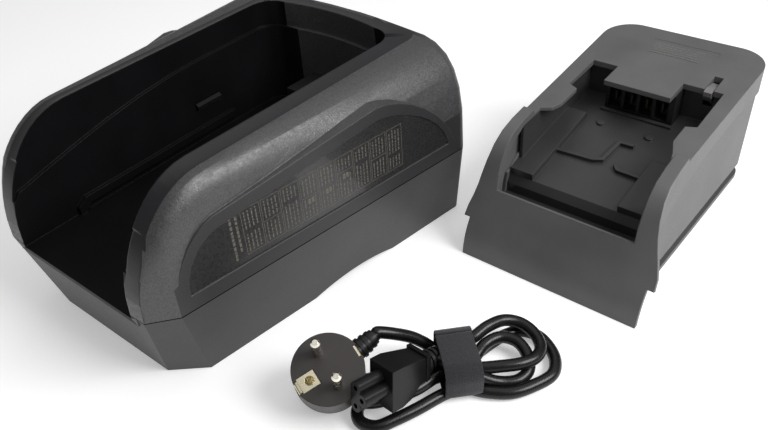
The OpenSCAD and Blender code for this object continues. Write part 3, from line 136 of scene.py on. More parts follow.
# The free stretch is given in the row frame, the bundle's loops along and across the bundle.
# The cord goes through them in this order, from the plug to the connector's boot.
RUN_START = (137.7, -33.9, 24.8)
RUN_POINTS = [(138.0, -32.5, 25.2), (138.4, -31.1, 25.6), (143.5, -25, 22.5), (149, -18, 17.5),
              (154, -13.5, 12.5), (159, -10.5, 8.5)]
FAR_LOOP = [(0, -13, 9.2), (10, -13, 12.5), (20, -18.5, 14), (30, -22.5, 13), (39, -20.5, 11),
            (44.5, -13, 9.5), (45, -3.5, 9), (40, 3.5, 9.5), (31, 6.5, 10.2), (20, 6.5, 10.4),
            (10, 5.5, 10), (0, 4, 9.8)]
NEAR_BIGHT = [(-11, 6.5, 10), (-24, 13.5, 10), (-37, 17, 10.2), (-48, 17.5, 10), (-56, 12.5, 8.5),
              (-58, 4.5, 5.5), (-51, -2, 3.6), (-38, -3.5, 3.4), (-24, -4, 3.4), (-11, -5.5, 3.4)]
LOW_LOOP = [(0, -7, 3.5), (10, -9, 3.4), (20, -15, 3.4), (30, -20.5, 3.4), (40, -22, 3.4),
            (48, -16.5, 3.4), (51.5, -7, 3.4), (51.5, 2.5, 3.4), (47, 11, 3.4), (36, 16, 3.4),
            (24, 18.5, 3.4), (12, 16, 3.4), (0, 11, 3.4)]
LOW_BIGHT = [(-11, 14.5, 4), (-24, 20.5, 4), (-36, 25, 3.8), (-46, 27.5, 3.5), (-53.5, 23, 3.4),
             (-53.5, 14.5, 3.4), (-46, 9.5, 3.4), (-35, 7, 3.4), (-23, 4.5, 3.4), (-11, 2, 3.4)]
MID_LOOP = [(0, 0, 4), (9, -3, 8), (17, -10.5, 9.4), (26, -14, 9.5), (34, -10.5, 8.5),
            (37.5, -2.5, 6.5), (36, 6.5, 4.5), (29, 11.5, 3.6), (19, 11.5, 4.5), (9, 10, 9),
            (1, 8, 14.5)]
TO_BOOT = [(-6, 4, 15.6), (-13, -1.5, 15.4)]


def cord_points():
    """The cord's route from the plug's strain relief to the connector's boot."""
    coiled = FAR_LOOP + NEAR_BIGHT + LOW_LOOP + LOW_BIGHT + MID_LOOP + TO_BOOT
    return [RUN_START] + RUN_POINTS + [in_bundle(*p) for p in coiled]


def smooth_path(points):
    """Catmull-Rom points through the given ones."""
    p = [Vector(q) for q in points]
    p = [2 * p[0] - p[1]] + p + [2 * p[-1] - p[-2]]
    out = []
    for a, b, c, d in zip(p, p[1:], p[2:], p[3:]):
        for i in range(CORD_STEPS):
            t = i / CORD_STEPS
            out.append(0.5 * (2 * b + (c - a) * t + (2 * a - 5 * b + 4 * c - d) * t * t
                              + (3 * b - a - 3 * c + d) * t ** 3))
    return out + [p[-2]]


def make_cord():
    """The whole lead's cord with its strap, in place of the CAD's free stretch and hank."""
    path = [q * MM for q in smooth_path(cord_points())]
    curve = bpy.data.curves.new("mains_cord", "CURVE")
    curve.dimensions = "3D"
    spline = curve.splines.new("POLY")
    spline.points.add(len(path) - 1)
    for point, q in zip(spline.points, path):
        point.co = (*q, 1)
        point.radius = CORD_D / 2 * MM  # a curve's box grows by its points' radius, so not 1
    curve.bevel_depth = 1.0
    curve.bevel_resolution = CORD_BEVEL
    curve.use_fill_caps = True
    cord = add_object("mains_cord", curve, "lead")
    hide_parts("lead_run", "lead_hank")
    strap, flap = make_strap()
    return cord, strap, flap


# ---- mains lead: the strap ------------------------------------------------------------

BUNDLE_W = 33.0
BUNDLE_H = 18.4
BUNDLE_CORNER = 6.0
CORNER_STEPS = 8
STRAP_T = 1.6
STRAP_LIFT = 0.1         # gap between the bundle's outline and the strap
STRAP_LOWEST = 0.05      # least height over the table
STRAP_WAVE = 0.35        # how far the strap wanders along the bundle
BAND_W = 19.1
BAND_T = 1.45
BAND_SHARES = (0, 0.995)  # from and to, as shares of the outline's length
BAND_STEPS = 90
BAND_BEVEL = 0.35
FLAP_W = 16.8
FLAP_T = 0.9
FLAP_LIFT = STRAP_T + 0.05
FLAP_SHARES = (0.10, 0.42)
FLAP_SKEW = 6.0          # how far the flap would drift along the bundle in a whole turn
FLAP_STEPS = 40


def bundle_outline():
    """Closed outline (x, z) round the bundle, with round corners, from the left end of its top."""
    w, h = BUNDLE_W / 2 - BUNDLE_CORNER, BUNDLE_H / 2 - BUNDLE_CORNER
    out = []
    for (sx, sz), start in zip(((-1, 1), (-1, -1), (1, -1), (1, 1)), (90, 180, 270, 360)):
        centre = (sx * w, BUNDLE_H / 2 + sz * h)
        out += arc(centre, BUNDLE_CORNER, start, start + 90, CORNER_STEPS)
    return out


LEAST_SIDE = 1e-9        # a shorter side of the outline has no direction


def outline_at(outline, share):
    """Point and outward direction at a share of a closed outline's length."""
    n = len(outline)
    sides = [math.dist(outline[i], outline[(i + 1) % n]) for i in range(n)]
    goal = (share % 1.0) * sum(sides)
    for i, side in enumerate(sides):
        if goal <= side and side > LEAST_SIDE:
            a, b = outline[i], outline[(i + 1) % n]
            t = goal / side
            d = ((b[0] - a[0]) / side, (b[1] - a[1]) / side)
            return (a[0] + (b[0] - a[0]) * t, a[1] + (b[1] - a[1]) * t), (-d[1], d[0])
        goal -= side
    return outline[0], (0, 1)


def tape(outline, shares_from_to, lift, thick, width, skew, steps):
    """A bmesh of tape laid round the outline, from one share of its length to another.

    Its UVs are metres along and across the tape. With skew it drifts along the bundle.
    """
    bm = bmesh.new()
    uv = bm.loops.layers.uv.verify()
    start, stop = shares_from_to
    shares = [start + (stop - start) * i / steps for i in range(steps + 1)]
    length = sum(math.dist(outline[i], outline[i - 1]) for i in range(len(outline)))
    rings = []
    for s in shares:
        (x, z), (nx, nz) = outline_at(outline, s)
        if (x * nx + (z - BUNDLE_H / 2) * nz) < 0:
            nx, nz = -nx, -nz
        drift = skew * (s - start) + STRAP_WAVE * math.sin(9 * s + 1)
        ring = []
        for side, level in ((-1, 0), (1, 0), (1, 1), (-1, 1)):
            r = lift + level * thick
            height = max(STRAP_LOWEST, z + nz * r + STRAP_T + STRAP_LIFT)
            p = in_bundle(side * width / 2 + drift, x + nx * r, height)
            ring.append(bm.verts.new(mm(*p)))
        rings.append(ring)
    tube_faces(bm, rings)
    place = {vert: (i, k) for i, ring in enumerate(rings) for k, vert in enumerate(ring)}
    for face in bm.faces:
        for loop in face.loops:
            i, k = place[loop.vert]
            loop[uv].uv = (shares[i] * length * MM, width * MM if k in (1, 2) else 0)
    return bm


def make_strap():
    """The woven strap in place of the CAD's band, and its loose end laid over it."""
    outline = bundle_outline()
    bm = tape(outline, BAND_SHARES, STRAP_LIFT, BAND_T, BAND_W, 0.0, BAND_STEPS)
    strap = mesh_object("lead_strap_band", bm, "lead")
    bevel = strap.modifiers.new("soft_edges", "BEVEL")
    bevel.width = BAND_BEVEL * MM
    bevel.segments = 2
    bevel.limit_method = "ANGLE"
    bm = tape(outline, FLAP_SHARES, FLAP_LIFT, FLAP_T, FLAP_W, FLAP_SKEW, FLAP_STEPS)
    flap = mesh_object("lead_strap_flap", bm, "lead")
    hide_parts("lead_strap")
    return strap, flap


CORD, STRAP, FLAP = make_cord()

# ---- materials: sizes in this section are in metres -----------------------------------

NOISE_SPAN = (0.3, 0.7)  # the values that nearly all of a noise texture lies between
BEVEL_SAMPLES = 6


class Shader:
    """A Principled material and short ways to add the nodes that detail it."""

    def __init__(self, name, color, rough, metallic=0.0, coat=0.0, specular=0.5):
        self.material = bpy.data.materials.new(name)
        self.material.use_nodes = True
        self.tree = self.material.node_tree
        self.bsdf = self.tree.nodes["Principled BSDF"]
        self.color, self.rough, self.specular = color, rough, specular
        self.set("Base Color", (*color, 1))
        self.set("Roughness", rough)
        self.set("Metallic", metallic)
        self.set("Coat Weight", coat)
        self.set("Specular IOR Level", specular)
        self.where = self.node("ShaderNodeTexCoord").outputs["Object"]
        self.normal = None

    def set(self, socket, value):
        """Sets an input of the surface shader."""
        self.bsdf.inputs[socket].default_value = value

    def node(self, kind, **values):
        """Adds a node; each value is one of its settings, or else an input by its name."""
        made = self.tree.nodes.new(kind)
        for key, value in values.items():
            if hasattr(made, key):
                setattr(made, key, value)
            else:
                made.inputs[key.replace("_", " ")].default_value = value
        return made

    def link(self, a, b):
        """Connects an output to an input."""
        self.tree.links.new(a, b)

    def noise(self, size, detail=3.0, rough=0.55, stretch=(1, 1, 1)):
        """Noise with blotches of about that size in metres."""
        place = self.node("ShaderNodeMapping")
        place.inputs["Scale"].default_value = stretch
        self.link(self.where, place.inputs["Vector"])
        made = self.node("ShaderNodeTexNoise", Scale=1 / size, Detail=detail, Roughness=rough)
        self.link(place.outputs[0], made.inputs["Vector"])
        return made.outputs["Fac"]

    def spread(self, value, low, high, from_low=NOISE_SPAN[0], from_high=NOISE_SPAN[1]):
        """Maps a texture's value on to a range."""
        made = self.node("ShaderNodeMapRange")
        for socket, number in zip(("From Min", "From Max", "To Min", "To Max"),
                                  (from_low, from_high, low, high)):
            made.inputs[socket].default_value = number
        self.link(value, made.inputs["Value"])
        return made.outputs["Result"]

    def vary_color(self, value, low, high):
        """Scales the base colour by a texture, between the two factors."""
        ramp = self.node("ShaderNodeValToRGB")
        for stop, factor, place in zip(ramp.color_ramp.elements, (low, high), NOISE_SPAN):
            stop.color = (*[min(1, c * factor) for c in self.color], 1)
            stop.position = place
        self.link(value, ramp.inputs["Fac"])
        self.link(ramp.outputs["Color"], self.bsdf.inputs["Base Color"])

    def vary_rough(self, value, amount):
        """Lets the roughness go up and down by an amount with a texture."""
        self.link(self.spread(value, self.rough - amount, self.rough + amount),
                  self.bsdf.inputs["Roughness"])

    def round_edges(self, radius):
        """Shades hard edges as if they were rounded."""
        made = self.node("ShaderNodeBevel", samples=BEVEL_SAMPLES)
        made.inputs["Radius"].default_value = radius
        self.normal = made.outputs["Normal"]
        self.link(self.normal, self.bsdf.inputs["Normal"])

    def bump(self, value, height, strength=1.0):
        """Adds relief of that height to the relief that is there already."""
        made = self.node("ShaderNodeBump")
        made.inputs["Distance"].default_value = height
        made.inputs["Strength"].default_value = strength
        self.link(value, made.inputs["Height"])
        if self.normal is not None:
            self.link(self.normal, made.inputs["Normal"])
        self.normal = made.outputs["Normal"]
        self.link(self.normal, self.bsdf.inputs["Normal"])


PARTING_Z_M = 0.051
SEAM_SHADE_HALF_M = 0.00045
MIX_A, MIX_B, MIX_RESULT = 6, 7, 2  # the colour sockets of a Mix node


def add_painted_seam_shade(s):
    """Paints shade into a thin line at the real joint of the two base shells: black without
    specular, in place of a shaded groove.
    """
    split = s.node("ShaderNodeSeparateXYZ")
    s.link(s.where, split.inputs[0])
    off = s.node("ShaderNodeMath", operation="SUBTRACT")
    s.link(split.outputs["Z"], off.inputs[0])
    off.inputs[1].default_value = PARTING_Z_M
    distance = s.node("ShaderNodeMath", operation="ABSOLUTE")
    s.link(off.outputs[0], distance.inputs[0])
    lit_share = s.spread(distance.outputs[0], 0.0, 1.0, SEAM_SHADE_HALF_M * 0.5, SEAM_SHADE_HALF_M)
    mix = s.node("ShaderNodeMix", data_type="RGBA")
    s.link(lit_share, mix.inputs["Factor"])
    plastic = s.bsdf.inputs["Base Color"].links[0].from_socket
    mix.inputs[MIX_A].default_value = (0, 0, 0, 1)
    s.link(plastic, mix.inputs[MIX_B])
    s.link(mix.outputs[MIX_RESULT], s.bsdf.inputs["Base Color"])
    s.link(s.spread(lit_share, 0.0, s.specular, 0, 1), s.bsdf.inputs["Specular IOR Level"])


def moulded(name, color, rough, grain=0.0006, depth=0.00002, edge=0.0005, vary=0.12, **more):
    """Injection-moulded plastic: fine grain, soft tone changes and slightly rounded edges."""
    s = Shader(name, color, rough, **more)
    s.round_edges(edge)
    fine = s.noise(grain, detail=2.0)
    broad = s.noise(0.035, detail=2.0)
    s.vary_color(broad, 1 - vary, 1 + vary)
    s.vary_rough(fine, 0.06)
    s.bump(fine, depth)
    return s


def sparked(name, color, rough):
    """Spark-eroded plastic: a coarse sparkling grain of small pits."""
    s = Shader(name, color, rough, specular=0.8)
    s.round_edges(0.0008)
    pits = s.noise(0.00075, detail=3.0, rough=0.7)
    coarse = s.noise(0.0021, detail=2.0)
    s.vary_color(pits, 0.4, 2.0)
    s.vary_rough(coarse, 0.10)
    s.bump(coarse, 0.00010, 0.55)
    s.bump(pits, 0.00013, 1.0)
    return s


def metal(name, color, rough, brushed=(1, 1, 1)):
    """Drawn or plated metal: fine streaks, which brushed stretches along one axis."""
    s = Shader(name, color, rough, metallic=1.0)
    s.round_edges(0.0002)
    streaks = s.noise(0.0012, detail=4.0, stretch=brushed)
    s.vary_rough(streaks, 0.08)
    s.vary_color(s.noise(0.004), 0.85, 1.05)
    s.bump(streaks, 0.000006)
    return s


def sheathing(name, color, rough):
    """Extruded flexible PVC: a slight long waviness under a satin gloss."""
    s = Shader(name, color, rough, specular=0.32)
    waves = s.noise(0.009, detail=1.0)
    fine = s.noise(0.0008, detail=2.0)
    s.vary_color(waves, 0.8, 1.25)
    s.vary_rough(fine, 0.05)
    s.bump(waves, 0.00020, 0.5)
    s.bump(fine, 0.000008)
    return s


def woven(name, color):
    """Hook-and-loop tape: crossing yarns with a short nap, laid out on the strap's UVs."""
    s = Shader(name, color, 0.92, specular=0.25)
    s.set("Sheen Weight", 0.35)
    s.set("Sheen Roughness", 0.5)
    s.set("Sheen Tint", (0.75, 0.75, 0.8, 1))
    uv = s.node("ShaderNodeTexCoord").outputs["UV"]
    yarns = []
    for direction in ("X", "Y"):
        wave = s.node("ShaderNodeTexWave", wave_type="BANDS", bands_direction=direction)
        wave.inputs["Scale"].default_value = 420
        wave.inputs["Distortion"].default_value = 1.5
        wave.inputs["Detail"].default_value = 2.0
        s.link(uv, wave.inputs["Vector"])
        yarns.append(wave.outputs["Fac"])
    cross = s.node("ShaderNodeMath", operation="MULTIPLY")
    s.link(yarns[0], cross.inputs[0])
    s.link(yarns[1], cross.inputs[1])
    nap = s.noise(0.0007, detail=4.0, rough=0.8)
    s.vary_color(nap, 0.55, 1.7)
    s.bump(cross.outputs[0], 0.00018, 0.7)
    s.bump(nap, 0.00025, 0.8)
    return s


def printed(name, color):
    """Pad-printed ink: matt, a little uneven, as thin ink is."""
    s = Shader(name, color, 0.55)
    patchy = s.noise(0.0009, detail=3.0)
    s.vary_color(patchy, 0.55, 1.25)
    s.bump(patchy, 0.000004)
    return s


def clear_glass(name, color):
    """Clear glass with a barely uneven face."""
    s = Shader(name, color, 0.06)
    s.set("Transmission Weight", 0.85)
    s.vary_rough(s.noise(0.002), 0.02)
    return s


def fill_all(obj, *shaders):
    """Gives an object these materials; the first one goes on all of its faces."""
    obj.data.materials.clear()
    for s in shaders:
        obj.data.materials.append(s.material)
    if obj.type == "MESH":
        for p in obj.data.polygons:
            p.material_index = 0


# Inside of the cradle: the shell's own plastic made near black with little specular, as painted
# shade for the deep recess.
CAVITY_PAINTED_SHADE = moulded("cavity_painted_shade", (0.005, 0.0048, 0.0056), 0.42, edge=0.0008, vary=0.2,
                       specular=0.12)
SPARKED_BASE = sparked("base_sparked", (0.034, 0.034, 0.036), 0.42)
RIM_SATIN = moulded("rim_satin", (0.014, 0.014, 0.016), 0.34, grain=0.0009, edge=0.0012,
                    specular=0.35)
BAND_SATIN = moulded("band_satin", (0.024, 0.023, 0.025), 0.42, edge=0.0008)
LOWER_SATIN = moulded("lower_satin", (0.032, 0.031, 0.033), 0.46, grain=0.0007, edge=0.0008)
PANEL_GLOSS = moulded("panel_gloss", (0.020, 0.019, 0.020), 0.30, grain=0.0015, depth=0.000001,
                      coat=0.3)
ADAPTER_SATIN = moulded("adapter_satin", (0.100, 0.100, 0.100), 0.46, grain=0.0006, edge=0.0007)
TRAY_SATIN = moulded("tray_satin", (0.030, 0.029, 0.029), 0.42, grain=0.0006, edge=0.0006)
FRAME_SATIN = moulded("frame_satin", (0.085, 0.086, 0.084), 0.46, grain=0.0006, edge=0.0007)
BLOCK_BLACK = moulded("block_black", (0.012, 0.012, 0.013), 0.4, edge=0.0003)
CATCH_GREY = moulded("catch_grey", (0.16, 0.155, 0.15), 0.4, edge=0.0004)
DETENT_BLACK = moulded("detent_black", (0.006, 0.006, 0.0065), 0.4, edge=0.0005, specular=0.15)
PLUG_GREY = moulded("plug_grey", (0.028, 0.0235, 0.0225), 0.44, grain=0.0007, edge=0.0006)
CONNECTOR_BLACK = moulded("connector_black", (0.008, 0.0075, 0.0085), 0.34, edge=0.0005,
                          specular=0.22)
CORD_BLACK = sheathing("cord_black", (0.006, 0.006, 0.0065), 0.28)
BOOT_BLACK = sheathing("boot_black", (0.009, 0.009, 0.0095), 0.38)
PAD_RUBBER = moulded("pad_rubber", (0.02, 0.02, 0.02), 0.8, edge=0.0004)
STRAP_TAPE = woven("strap_tape", (0.022, 0.0225, 0.024))
NICKEL = metal("nickel", (0.80, 0.77, 0.66), 0.22, brushed=(1, 1, 0.1))
BRASS = metal("plated_brass", (0.83, 0.76, 0.56), 0.26)
GOLD = metal("contact_gold", (0.80, 0.66, 0.36), 0.28)
TERMINAL_BRONZE = metal("terminal_bronze", (0.10, 0.085, 0.06), 0.45)
STEEL = metal("zinc_steel", (0.55, 0.55, 0.57), 0.35)
ALUMINIUM = metal("aluminium", (0.62, 0.62, 0.64), 0.4, brushed=(0.1, 1, 1))
BOARD_GREEN = moulded("board_green", (0.015, 0.09, 0.04), 0.35, grain=0.0012, edge=0.0002)
FERRITE = moulded("ferrite", (0.03, 0.03, 0.032), 0.7, edge=0.0004)
COIL_TAPE = moulded("coil_tape", (0.55, 0.40, 0.06), 0.4, edge=0.0004)
CAN_SLEEVE = moulded("can_sleeve", (0.012, 0.018, 0.05), 0.3, edge=0.0004)
COPPER = metal("enamelled_copper", (0.55, 0.24, 0.09), 0.35)
LENS_RED = moulded("lens_red", (0.22, 0.02, 0.015), 0.15, depth=0.000002, coat=0.5)
WIRE_BROWN = sheathing("wire_brown", (0.08, 0.03, 0.012), 0.45)
WIRE_RED = sheathing("wire_red", (0.25, 0.015, 0.012), 0.45)
FUSE_GLASS = clear_glass("fuse_glass", (0.9, 0.93, 0.92))
PRINT_PALE = printed("print_pale", (0.125, 0.114, 0.092))
PRINT_GREY = printed("print_grey", (0.155, 0.150, 0.145))

# A painted shade line along the joint of the base shells.
for cased in (SPARKED_BASE, RIM_SATIN, BAND_SATIN, LOWER_SATIN):
    add_painted_seam_shade(cased)

NODE_SHADERS = {
    "base_lower_shell": LOWER_SATIN, "right_label_panel": PANEL_GLOSS,
    "left_label_panel": PANEL_GLOSS, "anti_slip_pads": PAD_RUBBER, "base_screws": STEEL,
    "mains_inlet": BLOCK_BLACK, "inlet_pins": NICKEL, "charger_board": BOARD_GREEN,
    "transformer_core": FERRITE, "transformer_coil": COIL_TAPE, "capacitors": CAN_SLEEVE,
    "heat_sink": ALUMINIUM, "power_transistors": BLOCK_BLACK, "mains_fuse": FUSE_GLASS,
    "noise_choke": COPPER, "indicator_lights": LENS_RED, "inlet_wires": WIRE_BROWN,
    "dock_terminal_block": BLOCK_BLACK, "dock_contacts": GOLD, "dock_wires": WIRE_RED,
    "detent_button": DETENT_BLACK, "detent_spring": STEEL, "adapter_cover": ADAPTER_SATIN,
    "bay_tray": TRAY_SATIN, "adapter_frame": FRAME_SATIN, "adapter_bottom_plate": FRAME_SATIN,
    "bay_terminal_block": BLOCK_BLACK, "bay_terminals": TERMINAL_BRONZE,
    "adapter_board": BOARD_GREEN, "adapter_wires": WIRE_RED, "dock_sockets": BLOCK_BLACK,
    "battery_catch": CATCH_GREY, "catch_spring": STEEL, "adapter_screws": STEEL,
    "plug_body": PLUG_GREY, "plug_pins": NICKEL, "plug_earth_clips": BRASS,
    "plug_earth_socket": BRASS, "plug_strain_relief": BOOT_BLACK,
    "connector_body": CONNECTOR_BLACK, "connector_boot": BOOT_BLACK, "connector_contacts": GOLD,
}
for node_name, shader in NODE_SHADERS.items():
    fill_all(NODES[node_name], shader)
fill_all(CORD, CORD_BLACK)
fill_all(STRAP, STRAP_TAPE)
fill_all(FLAP, STRAP_TAPE)

# ---- base: which faces are rim, cavity, band and sparked slope -------------------------

SHELL = NODES["base_upper_shell"]
BASE_LEN = 223.0
BELLY_W_FRONT = 137.5
BELLY_W_REAR = 196.0
CRADLE_LEN = 210.0
CRADLE_HALF_FRONT = 50.2
CRADLE_HALF_REAR = 53.8
CRADLE_CORNER = 15.0
RIM_W_SIDE = 9.4
RIM_W_REAR = 13.0
RIM_DROP = 2.3           # from the rim's inner edge to its outer one
RIM_FRONT_Z = 51.8
RIM_REAR_Z = 119.0
RIM_CURVE_LEN = 50.0     # how far back the rim is still rising
BELLY_ANGLE = math.atan((BELLY_W_REAR - BELLY_W_FRONT) / 2 / CRADLE_LEN)

SLOPE, RIM, CAVITY, BAND = range(4)
WALL_SLACK = 0.3         # how far a cavity wall's face may lie outside the cradle's outline
RIM_OVER = 1.1           # share of the rim's width that still counts as rim
RIM_SLACK = 1.6          # how far a rim's face may lie above or below the rim
SIDE_FACING = 0.999      # least cosine between a band's face and the belly's side
LEAST_UP = -0.2          # least upward part of a rim face's normal


def cradle_half(v):
    """Half the cradle's width."""
    return CRADLE_HALF_FRONT + (CRADLE_HALF_REAR - CRADLE_HALF_FRONT) * v / CRADLE_LEN


def rim_rise(v):
    """The rim's height there, as a share from its front end to its full height."""
    left = max(0.0, 1 - v / RIM_CURVE_LEN)
    return math.sqrt(max(0, 1 - left * left))


def on_rim(x, v, z):
    """Whether a point lies on the band that slopes down from the cradle's edge."""
    share = (abs(x) - cradle_half(v)) / RIM_W_SIDE
    if v > CRADLE_LEN - CRADLE_CORNER:
        share = max(share, (v - CRADLE_LEN) / RIM_W_REAR)
    inner_z = RIM_FRONT_Z + (RIM_REAR_Z - RIM_FRONT_Z) * rim_rise(v)
    off = z - (inner_z - RIM_DROP * share * rim_rise(v))
    return share < RIM_OVER and abs(off) < RIM_SLACK


def shell_zone(polygon):
    """Which zone of the upper shell a face belongs to."""
    x, y, z = polygon.center / MM
    v = y + BASE_LEN / 2
    n = polygon.normal
    side = Vector((math.copysign(math.cos(BELLY_ANGLE), x), -math.sin(BELLY_ANGLE), 0))
    if abs(x) < cradle_half(v) + WALL_SLACK and v < CRADLE_LEN + WALL_SLACK:
        return CAVITY
    if n.dot(side) > SIDE_FACING:
        return BAND
    if n.z > LEAST_UP and on_rim(x, v, z):
        return RIM
    return SLOPE


fill_all(SHELL, SPARKED_BASE, RIM_SATIN, CAVITY_PAINTED_SHADE, BAND_SATIN)
for face in SHELL.data.polygons:
    face.material_index = shell_zone(face)

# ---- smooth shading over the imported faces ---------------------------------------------

WELD_REACH_M = 0.00001
SHARP_ANGLE = math.radians(28)


def soften(obj):
    """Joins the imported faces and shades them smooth, apart from the real edges."""
    for p in obj.data.polygons:
        p.use_smooth = True
    weld = obj.modifiers.new("join_faces", "WELD")
    weld.merge_threshold = WELD_REACH_M
    split = obj.modifiers.new("keep_edges", "EDGE_SPLIT")
    split.split_angle = SHARP_ANGLE


for node in NODES.values():
    if not node.hide_render:
        soften(node)

# ---- printed labels -------------------------------------------------------------------

PRINT_T = 0.03
PRINT_ROOT = 0.05        # how deep the ink's boxes go into the surface
PANEL_DEPTH = 1.0
ADAPTER_AT = (178.0, 71.0)
ADAPTER_LEN = 185.0
ADAPTER_FRONT_H = 76.0
ADAPTER_RISE = 9.0
FIELD_DEPTH = 0.5


def on_panel(v, z, lift):
    """Point on the right side panel, lift above its face."""
    inward = PANEL_DEPTH - lift
    c, s = math.cos(BELLY_ANGLE), math.sin(BELLY_ANGLE)
    return mm(BELLY_W_FRONT / 2 - inward * c + v * s, -BASE_LEN / 2 + inward * s + v * c, z)


def on_label_field(x, y, lift):
    """Point on the floor of the recess in the adapter's top."""
    top = ADAPTER_FRONT_H + ADAPTER_RISE * y / ADAPTER_LEN
    return mm(ADAPTER_AT[0] + x, ADAPTER_AT[1] + y, top - FIELD_DEPTH + lift)


def ink(name, marks, place, body, shader):
    """One thin raised layer of ink: a box for each mark (a0, b0, a1, b1)."""
    bm = bmesh.new()
    for a0, b0, a1, b1 in marks:
        corners = ((a0, b0), (a1, b0), (a1, b1), (a0, b1))
        tube_faces(bm, [[bm.verts.new(place(a, b, lift)) for a, b in corners]
                        for lift in (-PRINT_ROOT, PRINT_T)])
    fill_all(mesh_object(name, bm, body, smooth=False), shader)


def dashes(dice, start, stop, shortest, longest, gap):
    """Short strokes (from, to) along a line, broken as words are."""
    out, at = [], start
    while at < stop - shortest:
        end = min(stop, at + dice.uniform(shortest, longest))
        out.append((at, end))
        at = end + gap * dice.uniform(0.7, 1.6)
    return out


TABLE_V = (57.0, 168.0)
TABLE_Z = (64.0, 91.5)
TABLE_CELLS = 9
TABLE_SPLITS = (0.35, 0.5, 0.62)       # where a cell's middle line may lie
TABLE_LINE = 0.28
CELL_GAP = 0.8
CELL_ROWS = 4
ROWS_START = 1.6
ROWS_SPARE = 3.0                       # part of a cell that its rows don't share
ROW_W = 0.75
CELL_MARGIN = 1.4
TITLES = ((50.0, 64.0), (53.4, 68.0))  # v and first z
TITLE_W = 1.3
TITLE_DASH = (1.2, 2.6, 0.6)           # shortest, longest and usual gap, as in each DASH
ROW_DASH = (0.9, 2.8, 0.5)
BLOCK_DASH = (1.0, 2.6, 0.5)
BLOCK_CELLS = (3, 4, 5)
BLOCK_ROWS = (1, 2)
BLOCK_W = 1.7
BLOCK_BELOW = (4.6, 1.4)               # its edges, below the cell's middle line


def frame_marks(v0, z0, v1, z1, line):
    """The four sides of a framed box."""
    return [(v0, z0, v1, z0 + line), (v0, z1 - line, v1, z1),
            (v0, z0, v0 + line, z1), (v1 - line, z0, v1, z1)]


def cell_marks(dice, i, v0, cell):
    """One cell of the table: a frame, rows of strokes, and blocks in the middle cells."""
    low, high = TABLE_Z
    middle = low + dice.choice(TABLE_SPLITS) * (high - low)
    marks = frame_marks(v0, low, v0 + cell - CELL_GAP, high, TABLE_LINE)
    if i % 2:
        marks.append((v0, middle, v0 + cell - CELL_GAP, middle + TABLE_LINE))
    for k in range(CELL_ROWS):
        row = v0 + ROWS_START + k * (cell - ROWS_SPARE) / CELL_ROWS
        if i in BLOCK_CELLS and k in BLOCK_ROWS:
            bottom, top = (middle - below for below in BLOCK_BELOW)
            marks.append((row, bottom, row + BLOCK_W, top))
            strokes = dashes(dice, low + CELL_MARGIN, bottom - CELL_MARGIN, *BLOCK_DASH)
        else:
            strokes = dashes(dice, low + CELL_MARGIN, middle - 1, *ROW_DASH)
        strokes += dashes(dice, middle + ROWS_START, high - CELL_MARGIN, *ROW_DASH)
        marks += [(row, a, row + ROW_W, b) for a, b in strokes]
    return marks


def make_panel_label():
    """A plain rating table on the right panel, in place of the printed one."""
    dice = random.Random(4)
    marks = []
    for v, z in TITLES:
        marks += [(v, a, v + TITLE_W, b)
                  for a, b in dashes(dice, z, TABLE_Z[1] - 1, *TITLE_DASH)]
    cell = (TABLE_V[1] - TABLE_V[0]) / TABLE_CELLS
    for i in range(TABLE_CELLS):
        marks += cell_marks(dice, i, TABLE_V[0] + i * cell, cell)
    ink("right_panel_label", marks, on_panel, "base", PRINT_PALE)


FIELD_X = (-17.0, 21.0)
FIELD_Y = (154.0, 169.0)
FIELD_ROWS = 5
FIELD_ROW_W = 0.9
FIELD_RAGGED = 9         # how much shorter a row may be
FIELD_DASH = (1.2, 3.6, 0.7)


def make_adapter_label():
    """Ragged rows of strokes in the recess of the adapter's top."""
    dice = random.Random(9)
    marks = []
    step = (FIELD_Y[1] - FIELD_Y[0]) / FIELD_ROWS
    for i in range(FIELD_ROWS):
        y = FIELD_Y[0] + (i + 0.3) * step
        stop = FIELD_X[1] - dice.uniform(0, FIELD_RAGGED)
        marks += [(a, y, b, y + FIELD_ROW_W)
                  for a, b in dashes(dice, FIELD_X[0], stop, *FIELD_DASH)]
    ink("adapter_label", marks, on_label_field, "adapter", PRINT_GREY)


make_panel_label()
make_adapter_label()

# ---- floor and light ------------------------------------------------------------------

FLOOR_HALF_M = 4
FLOOR_Z_M = -0.0002
FLOOR_TONE = 0.82
FLOOR_ROUGH = 0.9
FLOOR_SPECULAR = 0.1
FLOOR_GLOW = 0.36        # only for rays that show the floor itself, so that it stays white
WORLD_STRENGTH = 0.24
LIT_AT_M = Vector((0.08, 0.0, 0.05))


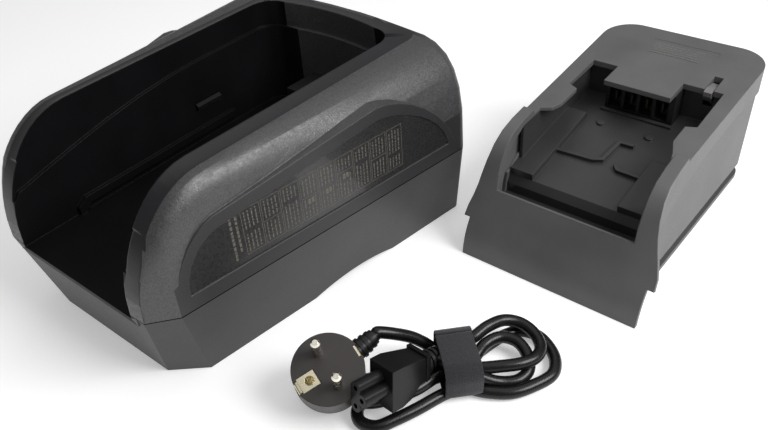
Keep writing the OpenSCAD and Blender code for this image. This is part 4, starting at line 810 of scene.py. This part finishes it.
def floor_material():
    """Pale and matt, with a glow that lights nothing but shows in the picture."""
    s = Shader("floor", (FLOOR_TONE,) * 3, FLOOR_ROUGH, specular=FLOOR_SPECULAR)
    path = s.node("ShaderNodeLightPath")
    seen = path.outputs["Is Camera Ray"]
    for ray in ("Is Glossy Ray", "Is Transmission Ray"):
        either = s.node("ShaderNodeMath", operation="MAXIMUM")
        s.link(seen, either.inputs[0])
        s.link(path.outputs[ray], either.inputs[1])
        seen = either.outputs[0]
    glow = s.node("ShaderNodeMath", operation="MULTIPLY")
    s.link(seen, glow.inputs[0])
    glow.inputs[1].default_value = FLOOR_GLOW
    s.set("Emission Color", (1, 1, 1, 1))
    s.link(glow.outputs[0], s.bsdf.inputs["Emission Strength"])
    return s.material


def make_floor():
    """The table that everything lies on."""
    bm = bmesh.new()
    bmesh.ops.create_grid(bm, x_segments=2, y_segments=2, size=FLOOR_HALF_M)
    mesh = bpy.data.meshes.new("floor")
    bm.to_mesh(mesh)
    bm.free()
    mesh.materials.append(floor_material())
    floor = bpy.data.objects.new("floor", mesh)
    floor.location.z = FLOOR_Z_M
    bpy.context.scene.collection.objects.link(floor)


def make_light(name, at, size, power):
    """A rectangular light that faces the object; place and size are in metres."""
    data = bpy.data.lights.new(name, "AREA")
    data.shape = "RECTANGLE"
    data.size, data.size_y = size
    data.energy = power
    lamp = bpy.data.objects.new(name, data)
    lamp.location = at
    lamp.rotation_euler = (LIT_AT_M - Vector(at)).to_track_quat("-Z", "Y").to_euler()
    bpy.context.scene.collection.objects.link(lamp)


def make_world():
    """An even white surround."""
    world = bpy.data.worlds.new("studio")
    world.use_nodes = True
    background = world.node_tree.nodes["Background"]
    background.inputs["Color"].default_value = (1, 1, 1, 1)
    background.inputs["Strength"].default_value = WORLD_STRENGTH
    bpy.context.scene.world = world


make_floor()
make_world()
make_light("key", (0.80, 0.18, 0.72), (0.55, 0.45), 9.0)
make_light("top", (0.05, 0.25, 1.20), (1.4, 1.4), 4.6)
bpy.context.scene.view_settings.view_transform = "Standard"

# ---- last update of the scene ---------------------------------------------------------

bpy.context.view_layer.update()
